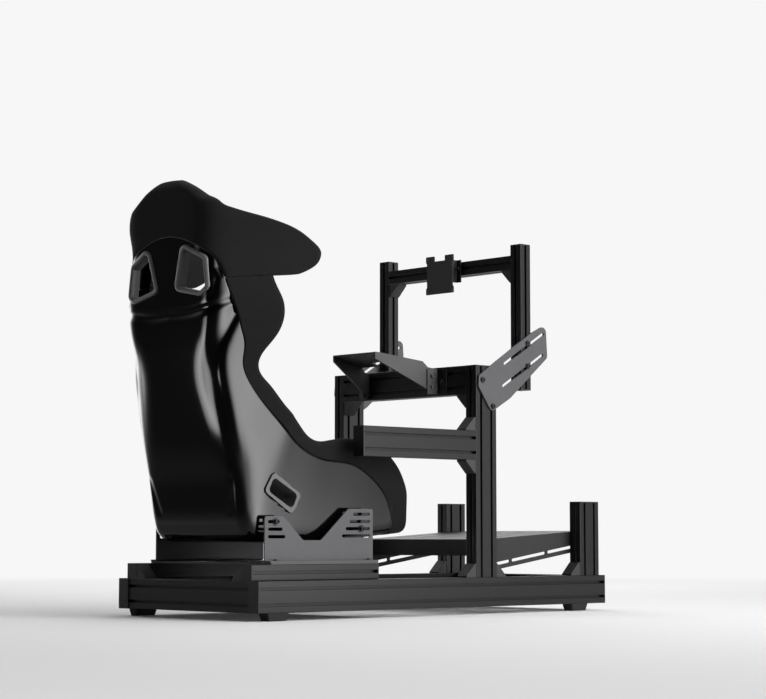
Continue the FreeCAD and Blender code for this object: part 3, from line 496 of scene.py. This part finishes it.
def two_sheets(outer, inner):
    """Closed quads over two grids of the same size: both sheets and the strip round their edge."""
    n, k = outer.shape[:2]
    index = np.arange(n * k).reshape(n, k)
    quads = np.stack([index[:-1, :-1], index[1:, :-1], index[1:, 1:], index[:-1, 1:]], -1).reshape(-1, 4)
    ring = np.concatenate([index[:, 0], index[-1, 1:], index[-2::-1, -1], index[0, -2:0:-1]])
    after = np.roll(ring, -1)
    strip = np.stack([ring, ring + n * k, after + n * k, after], -1)
    faces = np.concatenate([quads[:, ::-1], quads + n * k, strip[:, ::-1]])
    return np.concatenate([outer.reshape(-1, 3), inner.reshape(-1, 3)]), faces


def quarter(e, r):
    """Height of a quarter circle at a distance from its end, as a share of its radius."""
    return np.sqrt(np.clip(1 - (1 - np.clip(e / r, 0, 1)) ** 2, 0, 1))


def ramp(x):
    """Soft step from zero to one: three times the square less twice the cube."""
    x = np.clip(x, 0, 1)
    return x * x * (3 - 2 * x)


def run_length(rows):
    """Distance walked along the spine up to each section."""
    steps = np.hypot(np.diff(rows[:, 0]), np.diff(rows[:, 1]))
    return np.concatenate([[0], np.cumsum(steps)])[:, None]


def pad(name, rows, girth, low, ends, outer, inner, full, arch=0.0):
    """Two sheets about a middle depth; lengths shrink with depth so that a rim stays on its curve.

    An arch lowers the crown by the square of the distance from the middle.
    """
    middle, half = (outer + inner) / 2, (inner - outer) / 2 * full
    shrink = (ends[1] - ends[0]) / (ends[0] - low) / INSIDE
    sheets = []
    for inset in (middle - half, middle + half):
        length = np.abs(girth)
        length = length + np.maximum(length - low, 0) * shrink * inset
        sheets.append(place(rows, inset, np.sign(girth) * length))
    points, faces = two_sheets(*sheets)
    droop = np.minimum(np.abs(points[:, 0]) / CROWN_HALF, 1) ** 2
    points[:, 2] -= arch * droop * ramp((points[:, 2] - CROWN_FOOT) / CROWN_RISE)
    if girth.mean() < -1:
        faces = faces[:, ::-1]
    piece = mesh_piece(name + "_cover", points, faces, suede)
    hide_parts(name)
    return piece


# Depths of a cover in millimetres: lapping the laminate, hidden behind it, and facing the driver.
PROUD, HIDDEN, INSIDE = -1.5, 22.0, 43.0
RIM = (INSIDE - PROUD) / 2
ROLL = 9.0
CROWN_HALF, CROWN_FOOT, CROWN_RISE = 0.14, 1.04, 0.07
fine = np.linspace(6, 20, 3000)
fine_height = rows_at(fine)[:, 1] + SEAT_BOTTOM
seam_steps = np.array([0, 0.5, 1.3, 2.4, 4.0])
theta = np.linspace(0, np.pi / 2, 12)
share = np.linspace(0, 1, 22)
covers = {}
print("rim radius", RIM, "mm")

# %% [markdown]
# The headrest wraps over the top of the laminate. Its grid runs from the neck seam to the crown and from
# one wing tip to the other. Rows near the crown get shorter, so that the pad closes like a dome.

# %% Headrest
bottom, top = np.interp([NECK, CROWN], fine, fine_height)
heights = np.concatenate([bottom + 0.5 + seam_steps, np.linspace(bottom + 8, ARCH_TOP - 0.4, 34),
                          np.linspace(ARCH_TOP + 1, top - RIM - 2, 30), top - RIM + RIM * np.sin(theta)])
rows = rows_at(np.interp(heights, fine_height, fine))
walk = (heights - heights[0])[:, None]
deep = wall_depth(rows, head) + ROLL * (1 + ramp((1040 - heights) / 60))[:, None]
dome = 0.62 + 0.38 * quarter(walk[-1] - walk, 70)
ends = [girth_at(rows, inset, deep) * dome for inset in (0, INSIDE)]
edge = np.minimum(np.maximum(shell_girth(rows), 20), ends[0] - 12)
rim = np.minimum(RIM, 0.7 * (ends[0] - edge))
half = np.concatenate([edge * np.linspace(0, 1, 16), edge + 1.2 + (ends[0] - rim - edge - 1.2) * share,
                       ends[0] - rim + rim * np.sin(theta[1:])], 1)
girth = np.concatenate([-half[:, :0:-1], half], 1)
lapped = (np.arange(half.shape[1]) > 15) | (heights > ARCH_TOP)[:, None]
lapped = np.concatenate([lapped[:, :0:-1], lapped], 1)
full = quarter(ends[0] - np.abs(girth), rim) * quarter(walk[-1] - walk, RIM)
full = full * (1 - 4 / RIM * (1 - quarter(walk, 4.0)))
crown = 8 * np.cos(np.clip(girth / 150, -1, 1) * np.pi / 2) ** 2 * quarter(walk, 40)
inner = PROUD + (INSIDE - PROUD) * (0.3 + 0.7 * quarter(walk[-1] - walk, 75)) + crown
outer = np.where(lapped, PROUD, HIDDEN)
covers["headrest_pad"] = pad("headrest_pad", rows, girth, 0, ends, outer, inner, full, arch=0.020)
print("headrest cover", len(covers["headrest_pad"].data.vertices), "points")

# %% [markdown]
# A side bolster runs from the front of the pan round the hip to the neck. One grid makes both, because
# the left one is the mirror image of the right one.

# %% Side bolsters
t = np.concatenate([FRONT + 0.2 * (1 - np.cos(theta)), np.linspace(0.76, 1.19, 12),
                    np.linspace(1.21, NECK - 0.09, 190), NECK - 0.006 - seam_steps[::-1] / 85])
rows = rows_at(t)
walk = run_length(rows)
low = 129.0
deep = wall_depth(rows, wing) + ROLL
ends = [girth_at(rows, inset, deep) for inset in (0, INSIDE)]
edge = np.where(t[:, None] < SHELL_FRONT, low + 8, np.minimum(shell_girth(rows), ends[0] - 10))
rim = np.minimum(RIM, 0.8 * (ends[0] - edge))
root = np.concatenate([[0, 0.01, 0.025], np.linspace(0.05, 1, 20)])
half = np.concatenate([low + (edge - low) * root, edge + 1.2 + (ends[0] - rim - edge - 1.2) * share,
                       ends[0] - rim + rim * np.sin(theta[1:])], 1)
lapped = (np.arange(half.shape[1]) > 22) | (t < SHELL_FRONT)[:, None]
full = quarter(ends[0] - half, rim) * quarter(walk, 16.0)
full = full * (1 - 4 / RIM * (1 - quarter(walk[-1] - walk, 4.0)))
full = full * (1 - 6 / RIM * (1 - quarter(half - low, 6.0)))
for side, name in ((1, "side_bolster_right"), (-1, "side_bolster_left")):
    covers[name] = pad(name, rows, side * half, low, ends, np.where(lapped, PROUD, HIDDEN),
                       INSIDE + 0 * half, full)
print("bolster cover", len(covers["side_bolster_right"].data.vertices), "points")

# %% [markdown]
# Two cushions fill the middle, one for the back and one for the pan. They start a little thin, because
# stuffing makes them swell. A row gives where a cushion starts and ends, its depth and its underside.

# %% Back and seat cushions
CUSHION_HALF, CUSHION_ROUND = 127, 24
CUSHIONS = {"back_cushion": (HIP + 0.02, NECK - 0.012, 27.0, 12.0),
            "seat_cushion": (FRONT, HIP - 0.06, 52.0, 14.0)}
for name, (first, last, thick, under) in CUSHIONS.items():
    t = np.linspace(first, last, 110)
    rows = rows_at(t)
    walk = run_length(rows)
    girth = CUSHION_HALF * np.sin(np.linspace(-np.pi / 2, np.pi / 2, 60))[None] + 0 * walk
    rim = np.full_like(walk, CUSHION_HALF)
    full = 0.5 + 0.5 * quarter(CUSHION_HALF - np.abs(girth), CUSHION_ROUND)
    full = full * (0.4 + 0.6 * quarter(np.minimum(walk, walk[-1] - walk), CUSHION_ROUND))
    outer = np.where((t < SHELL_FRONT)[:, None], PROUD, under) + 0 * girth
    inner = thick + 6 * np.cos(girth / CUSHION_HALF * np.pi / 2) + 0 * walk
    covers[name] = pad(name, rows, girth, 0, (rim, rim), outer, inner, full)
    print(name, len(covers[name].data.vertices), "points")

# %% [markdown]
# ## Stuffing
#
# A cushion is flat where it rests on the laminate and swells towards the driver, where the foam pushes
# against the cover. The cover is remeshed evenly and blown up as cloth with no weight. Each point then
# goes at most a few millimetres of the way, and none of it where the cushion lies on the shell.

# %% Stuff the cushions
PRESSURE, FRAMES = 4.0, 20


def points_of(mesh, kind="co"):
    """Positions or normals of all points of a mesh as one array."""
    flat = np.empty(3 * len(mesh.vertices), np.float32)
    mesh.vertices.foreach_get(kind, flat)
    return flat.reshape(-1, 3)


def made(piece):
    """Mesh of a piece with its modifiers carried out."""
    graph = bpy.context.evaluated_depsgraph_get()
    return bpy.data.meshes.new_from_object(piece.evaluated_get(graph))


def stuffed(piece, way, voxel=0.004, cap=0.008):
    """Cloth under pressure from inside, each move cut to the cap and faded out on the underside."""
    trial = bpy.data.objects.new("trial", piece.data.copy())
    bpy.context.scene.collection.objects.link(trial)
    even = trial.modifiers.new("even", "REMESH")
    even.mode = "VOXEL"
    even.voxel_size = voxel
    start = made(trial)
    trial.modifiers.clear()
    trial.data = start
    cloth = trial.modifiers.new("cloth", "CLOTH").settings
    cloth.use_pressure = True
    cloth.uniform_pressure_force = PRESSURE
    cloth.effector_weights.gravity = 0.0
    for step in range(1, FRAMES + 1):
        bpy.context.scene.frame_set(step)
    place_now, place_then = points_of(made(trial)), points_of(start)
    move = place_now - place_then
    far = np.linalg.norm(move, axis=1, keepdims=True)
    facing = points_of(start, "normal") @ np.array(way) / np.linalg.norm(way)
    move *= np.minimum(far, cap) / np.maximum(far, 1e-9) * ramp((facing[:, None] + 0.15) / 0.6)
    start.vertices.foreach_set("co", (place_then + move).astype(np.float32).ravel())
    bpy.data.objects.remove(trial)
    bpy.context.scene.frame_set(1)
    start.polygons.foreach_set("use_smooth", np.ones(len(start.polygons), bool))
    piece.data = start
    smooth = piece.modifiers.new("smooth", "SUBSURF")
    smooth.levels = smooth.render_levels = 1
    return float(np.linalg.norm(move, axis=1).max())


for name, way in (("back_cushion", (0, 1, 0.1)), ("seat_cushion", (0, 0, 1))):
    swell = stuffed(covers[name], way)
    print(name, "swells by", round(1000 * swell, 1), "mm,", len(covers[name].data.vertices), "points")

# %% [markdown]
# ## The shell
#
# The laminate is laid in a mould, so its back is one soft skin with a few pressed features: a valley on
# each side that stiffens the wings, a groove across the neck, a crease beside each shoulder window, a
# lip round the foot and a short flute. Each is a smooth dent added to the depth of the section.

# %% Relief of the shell
def bell(x, width):
    """Smooth bump of height one: e to the minus square of the distance over the width."""
    return np.exp(-(x / width) ** 2)


def follow(points, x):
    """Value of a smooth curve given by points (x, value)."""
    curve = natural_curve(points)
    return np.interp(x, curve[:, 0], curve[:, 1])


VALLEY = [(20, 210), (61, 208), (161, 204), (247, 185), (340, 168), (427, 160), (475, 172), (530, 205),
          (581, 240), (625, 280)]
VALLEY_DEPTH = [(20, 0), (61, 1), (161, 4), (247, 8), (340, 11), (427, 12), (475, 12), (530, 10), (581, 7),
                (625, 0)]
NECK_GROOVE = [(0, 577), (100, 578), (150, 585), (195, 592), (225, 600), (400, 640)]
WINDOW_CREASE = [(590, 150), (613, 171), (638, 179), (666, 184), (696, 187), (760, 190)]


def relief(rows, girth):
    """Depth of the pressed features at a length along each section, in millimetres."""
    rise, length = rows[:, 1:2], np.abs(girth)
    back = ramp((60 - rows[:, 0:1]) / 10)
    side = length - follow(VALLEY, rise)
    dent = np.maximum(follow(VALLEY_DEPTH, rise), 0) * bell(side, np.where(side > 0, 25, 38))
    dent = dent + 6 * bell(rise - follow(NECK_GROOVE, length), 11)
    dent = dent + 4 * bell(length - follow(WINDOW_CREASE, rise), 7) * ramp((rise - 600) / 16)
    dent = dent + 2.5 * ramp((52 - rise) / 16) * ramp((rise - 8) / 24) * ramp((196 - length) / 40)
    lean = length - 151 - 0.213 * (rise - 60)
    flute = ramp((rise - 62) / 12) * ramp((168 - rise) / 12) * ramp(1.6 * (1 - np.abs(lean) / 14))
    return back * (dent + 2.5 * flute)


print("valley lies", VALLEY[0][1], "to", VALLEY[-1][1], "mm from the middle")

# %% Mould the shell
LAMINATE = 5


def smoothed(t, points):
    """Walls at the hip eased: their width becomes its bell-weighted mean over neighbouring sections."""
    weight = bell(t[:, None] - t[None], 1.6) * np.gradient(t)[None]
    mean = weight @ points[:, :, 0] / weight.sum(1, keepdims=True)
    near = ramp((t - 2.5) / 2) * ramp((10.5 - t) / 2.5)
    points[:, :, 0] += near[:, None] * (mean - points[:, :, 0])
    return points


t = np.concatenate([np.linspace(SHELL_FRONT, 5.8, 90), np.linspace(5.85, 11.2, 84),
                    np.linspace(11.225, 12.6, 52), np.linspace(12.65, NECK, 10)])
arch = np.interp(ARCH_TOP - ARCH_DROP * np.linspace(1.05, 0.06, 40) ** 2, fine_height, fine)
t = np.concatenate([t, arch[arch > NECK + 0.03]])
rows = rows_at(t)
girth = shell_girth(rows) * np.linspace(-1, 1, 151)
dent = relief(rows, girth)
sheets = [smoothed(t, place(rows, dent + level, girth)) for level in (0, LAMINATE)]
points, faces = two_sheets(*sheets)
shell = mesh_piece("moulded_shell", points, faces, gel_coat)
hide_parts("seat_shell")
covers["seat_shell"] = shell
print("shell", len(shell.data.vertices), "points, deepest dent", round(float(dent.max()), 1), "mm")

# %% [markdown]
# ## Belt openings
#
# The harness passes through four windows. Each window is a rounded outline pushed through the laminate,
# and flared on its way through the foam of the shoulders. It is cut the way a hot wire would cut foam: as
# a prism taken away from the shell and from the pads.

# %% Outlines and cutters
def rounded(corners):
    """Closed outline: each corner becomes an arc tangent to both its sides."""
    p = np.array(corners, float)[:, :2]
    radius = np.array(corners, float)[:, 2:3]
    back, ahead = np.roll(p, 1, 0) - p, np.roll(p, -1, 0) - p
    back, ahead = [v / np.linalg.norm(v, axis=1, keepdims=True) for v in (back, ahead)]
    half = np.arccos((back * ahead).sum(1, keepdims=True)) / 2
    cut = radius / np.tan(half)
    bisector = back + ahead
    middle = p + bisector / np.linalg.norm(bisector, axis=1, keepdims=True) * radius / np.sin(half)
    start, end = p + back * cut - middle, p + ahead * cut - middle
    w = np.linspace(0, 1, 9)[None, :, None]
    spin = np.pi - 2 * half[:, None]
    arc = (np.sin((1 - w) * spin) * start[:, None] + np.sin(w * spin) * end[:, None]) / np.sin(spin)
    return (middle[:, None] + arc).reshape(-1, 2)


def prism(outline, plane, first, last, grow=1.0):
    """Cutter from an outline in the XZ or YZ plane, which may grow on its way from level to level."""
    n = len(outline)
    u, v = outline.T
    area = (u * np.roll(v, -1) - np.roll(u, -1) * v).sum()
    if area * (last - first) * (1 if plane == "YZ" else -1) < 0:
        outline = outline[::-1]
    levels = np.repeat([first, last], n)
    flat = np.concatenate([outline, outline.mean(0) + grow * (outline - outline.mean(0))])
    axes = {"XZ": (flat[:, 0], levels, flat[:, 1]), "YZ": (levels, flat[:, 0], flat[:, 1])}[plane]
    points = np.stack(axes, -1) - [0, REAR_END, 0]
    ring = np.arange(n)
    sides = np.stack([ring, np.roll(ring, -1), np.roll(ring, -1) + n, ring + n], -1).tolist()
    mesh = bpy.data.meshes.new("cutter")
    mesh.from_pydata((points / 1000).tolist(), [], sides + [ring[::-1].tolist(), (ring + n).tolist()])
    cutter = bpy.data.objects.new("cutter", mesh)
    bpy.context.scene.collection.objects.link(cutter)
    return cutter


# Corners of the windows: two coordinates and a radius in millimetres.
HARNESS = np.array([(39.5, 842.5, 14), (138.2, 822.5, 12), (164.5, 838, 12), (153.5, 915.2, 15),
                    (71.8, 953.5, 17)])
LAP = np.array([(81.5, 325, 12), (179, 266.5, 12), (207.5, 318, 12), (110, 375.5, 12)])
print("points round the windows", len(rounded(HARNESS)), "and", len(rounded(LAP)))

# %% Cut the windows
for side in (1, -1):
    name = "side_bolster_right" if side > 0 else "side_bolster_left"
    upper = prism(rounded(HARNESS) * [side, 1], "XZ", -160, 20)
    flared = prism(rounded(HARNESS) * [side, 1], "XZ", -62, -10, 1.6)
    lap = prism(rounded(LAP), "YZ", side * 120, side * 320)
    for cutter, cut in ((upper, ("seat_shell",)), (flared, ("headrest_pad", "back_cushion", name)),
                        (lap, ("seat_shell", name))):
        for target in cut:
            window = covers[target].modifiers.new("window", "BOOLEAN")
            window.operation = "DIFFERENCE"
            window.object = cutter
for name in ("headrest_pad", "back_cushion", "seat_shell", "side_bolster_right", "side_bolster_left"):
    piece = covers[name]
    mesh = made(piece)
    piece.modifiers.clear()
    piece.data = mesh
    print(name, "with windows", len(mesh.vertices), "points")
for cutter in [item for item in bpy.data.objects if item.name.startswith("cutter")]:
    bpy.data.objects.remove(cutter)

# %% [markdown]
# ## Shoulder bezels
#
# Each shoulder window is lined by a moulded ring: a rounded rim that stands on the laminate and a thin
# wall that reaches through it. The ring is one profile carried round the outline of the window, and it
# takes its level at every point from the skin of the shell under it.

# %% Shoulder bezels
# Profile of the ring: distance outwards from the window's edge and height over the skin.
RING = np.array([(6, -2), (6, 1.5), (5, 3.8), (2.5, 5.2), (-1, 5.6), (-4, 4.8), (-6.2, 2.6), (-7, -1),
                 (-7, -25), (-4.5, -25), (-4, -2)])


def skin_level(x, z):
    """Y of the outer skin behind points of the back: the section at that height, read at that width."""
    rows = rows_at(np.interp(z, fine_height, fine))
    low, high = np.zeros((len(x), 1)), np.full((len(x), 1), 280.0)
    for _ in range(30):
        middle = (low + high) / 2
        short = offset(rows, 0, middle)[0] < np.abs(x)[:, None]
        low, high = np.where(short, middle, low), np.where(short, high, middle)
    return place(rows, 0, low)[:, 0, 1]


def wrapped(n, k):
    """Quads of a grid that closes on itself both ways."""
    a = np.arange(n * k).reshape(n, k)
    b = np.roll(a, -1, 0)
    return np.stack([a, np.roll(a, -1, 1), np.roll(b, -1, 1), b], -1).reshape(-1, 4)


outline = rounded(HARNESS)
along = np.roll(outline, -1, 0) - np.roll(outline, 1, 0)
along /= np.linalg.norm(along, axis=1, keepdims=True)
outward = np.stack([along[:, 1], -along[:, 0]], -1)
loops = outline[:, None] + RING[None, :, :1] * outward[:, None]
level = skin_level(loops[..., 0].ravel(), loops[..., 1].ravel()).reshape(loops.shape[:2])
level = level - RING[None, :, 1] / 1000
points = np.stack([loops[..., 0] / 1000, level, loops[..., 1] / 1000], -1)
faces = wrapped(*points.shape[:2])
for side, name in ((1, "harness_bezel_right"), (-1, "harness_bezel_left")):
    ring = mesh_piece(name + "_ring", points * [side, 1, 1], faces[:, ::-side], bezel_plastic)
    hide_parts(name)
print("shoulder bezels", len(outline), "stations round")

# %% [markdown]
# ## Edge trim
#
# A cut edge of laminate is never left bare: a soft trim is pushed over it all the way round. It is a
# tube carried along the edge, from the front of the pan up one side, over the arch behind the
# shoulders and down the other side.

# %% Trim
TRIM_RADIUS = 0.0028


def tube(path, radius, around=12):
    """Circle of one radius carried round a closed path, square to the path at every point."""
    forward = np.roll(path, -1, 0) - np.roll(path, 1, 0)
    forward /= np.linalg.norm(forward, axis=1, keepdims=True)
    side = np.cross(forward, [1.0, 0.2, 0.3])
    side /= np.linalg.norm(side, axis=1, keepdims=True)
    up = np.cross(forward, side)
    angle = np.linspace(0, 2 * np.pi, around, endpoint=False)[None, :, None]
    points = path[:, None] + radius * (np.cos(angle) * side[:, None] + np.sin(angle) * up[:, None])
    return points, wrapped(len(path), around)


t = np.concatenate([np.linspace(SHELL_FRONT, NECK, 200),
                    np.interp(ARCH_TOP - ARCH_DROP * np.linspace(0.92, 0.0, 60) ** 2, fine_height, fine)])
t = np.unique(t)
rows = rows_at(t)
girth = shell_girth(rows)
right = place(rows, 2.0 + 0 * girth, girth)[:, 0]
across = np.linspace(-1, 1, 40)[1:-1][None] * girth[:1]
front = place(rows[:1], 2.0 + 0 * across, across)[0]
loop = np.concatenate([right, right[::-1] * [-1, 1, 1], front])
points, faces = tube(loop, TRIM_RADIUS)
trim = mesh_piece("shell_edge_trim", points, faces, edge_rubber)
print("trim length", round(float(np.linalg.norm(np.diff(loop, axis=0), axis=1).sum()), 2), "m")

# %% [markdown]
# ## Screws
#
# Socket head screws hold the sheet parts to the profiles. One screw is a stack of rings: washer, head
# with a broken edge, then the six sided socket. All screws are that stack turned and moved.

# %% One screw
AROUND = 48


def screw(head, height, washer):
    """Rings of a socket head screw standing on z = 0, in millimetres, with a pole at each end."""
    angle = np.linspace(0, 2 * np.pi, AROUND, endpoint=False)
    circle = np.stack([np.cos(angle), np.sin(angle)], -1)
    turn = (angle + np.pi / 6) % (np.pi / 3) - np.pi / 6
    hexagon = circle / np.cos(turn)[:, None]
    key, socket = 0.5 * head, 0.45 * height + 1.6
    stack = [(circle, washer, 0), (circle, washer, 1.2), (circle, washer - 0.4, 1.6), (circle, head, 1.6),
             (circle, head, height + 0.9), (circle, head - 0.3, height + 1.4),
             (circle, head - 0.7, height + 1.6), (hexagon, key + 0.3, height + 1.6),
             (hexagon, key, height + 1.3), (hexagon, key, socket)]
    rings = np.stack([np.column_stack([shape * size, np.full(AROUND, level)])
                      for shape, size, level in stack])
    points = np.concatenate([[[0, 0, 0]], rings.reshape(-1, 3), [[0, 0, socket]]])
    index = np.arange(1, 1 + rings.shape[0] * AROUND).reshape(-1, AROUND)
    a, b = index[:-1], index[1:]
    sides = np.stack([a, np.roll(a, -1, 1), np.roll(b, -1, 1), b], -1).reshape(-1, 4)
    last = np.full(AROUND, len(points) - 1)
    foot = np.stack([0 * last, np.roll(index[0], -1), index[0]], -1)
    floor_of_socket = np.stack([last, index[-1], np.roll(index[-1], -1)], -1)
    return points, sides, np.concatenate([foot, floor_of_socket])


print("points of a screw", len(screw(6.5, 8.0, 10.0)[0]))

# %% All screws
def screws(name, head, height, washer, places):
    """One mesh of equal screws, each with a foot point in millimetres and the way its head faces."""
    points, quads, triangles = screw(head, height, washer)
    way = np.array([axis for _, axis in places], float)
    way /= np.linalg.norm(way, axis=1, keepdims=True)
    spare = np.where(np.abs(way[:, 2:3]) > 0.9, [[1.0, 0, 0]], [[0, 0, 1.0]])
    u = np.cross(spare, way)
    u /= np.linalg.norm(u, axis=1, keepdims=True)
    turn = np.stack([u, np.cross(way, u), way], 1)
    base = np.array([spot for spot, _ in places], float) - [0, REAR_END, 0]
    moved = (points @ turn + base[:, None]) / 1000
    shift = len(points) * np.arange(len(places))[:, None, None]
    faces = (quads + shift).reshape(-1, 4).tolist() + (triangles + shift).reshape(-1, 3).tolist()
    mesh = bpy.data.meshes.new(name)
    mesh.from_pydata(moved.reshape(-1, 3).tolist(), [], faces)
    mesh.materials.append(steel)
    piece = bpy.data.objects.new(name, mesh)
    bpy.context.scene.collection.objects.link(piece)
    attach(piece, "root")
    print(name, len(places), "screws")


def pair(spots, axis):
    """Each screw and its mirror image on the left."""
    x, y, z = axis
    return [(spot, axis) for spot in spots] + [((-a, b, c), (-x, y, z)) for a, b, c in spots]


# The flange of the wheel deck leans by this much, and its screws with it.
slant = (140 - 87) / 184
screws("seat_screws", 6.5, 8.0, 10.0, pair([(226, 109, 248), (226, 403, 231)], (1, 0, 0)))
screws("flange_screws", 5.0, 3.0, 7.0, pair([(238, 100, 149), (238, 420, 149)], (0, 0, 1)))
screws("monitor_screws", 6.0, 4.0, 8.5, pair([(296, 791, 639), (296, 831, 567.5), (296, 972, 750),
                                              (296, 972, 686)], (1, 0, 0)))
screws("deck_screws", 5.0, 4.0, 7.0, pair([(139.7, 752, 626), (139.7, 752, 656)], (1, -slant, 0)))
screws("deck_bar_screws", 5.0, 4.0, 7.0, pair([(162, 767, 640)], (0, -1, 0)))
screws("screen_screws", 4.0, 3.0, 6.0, pair([(48, 948, 981)], (0, -1, 0)))
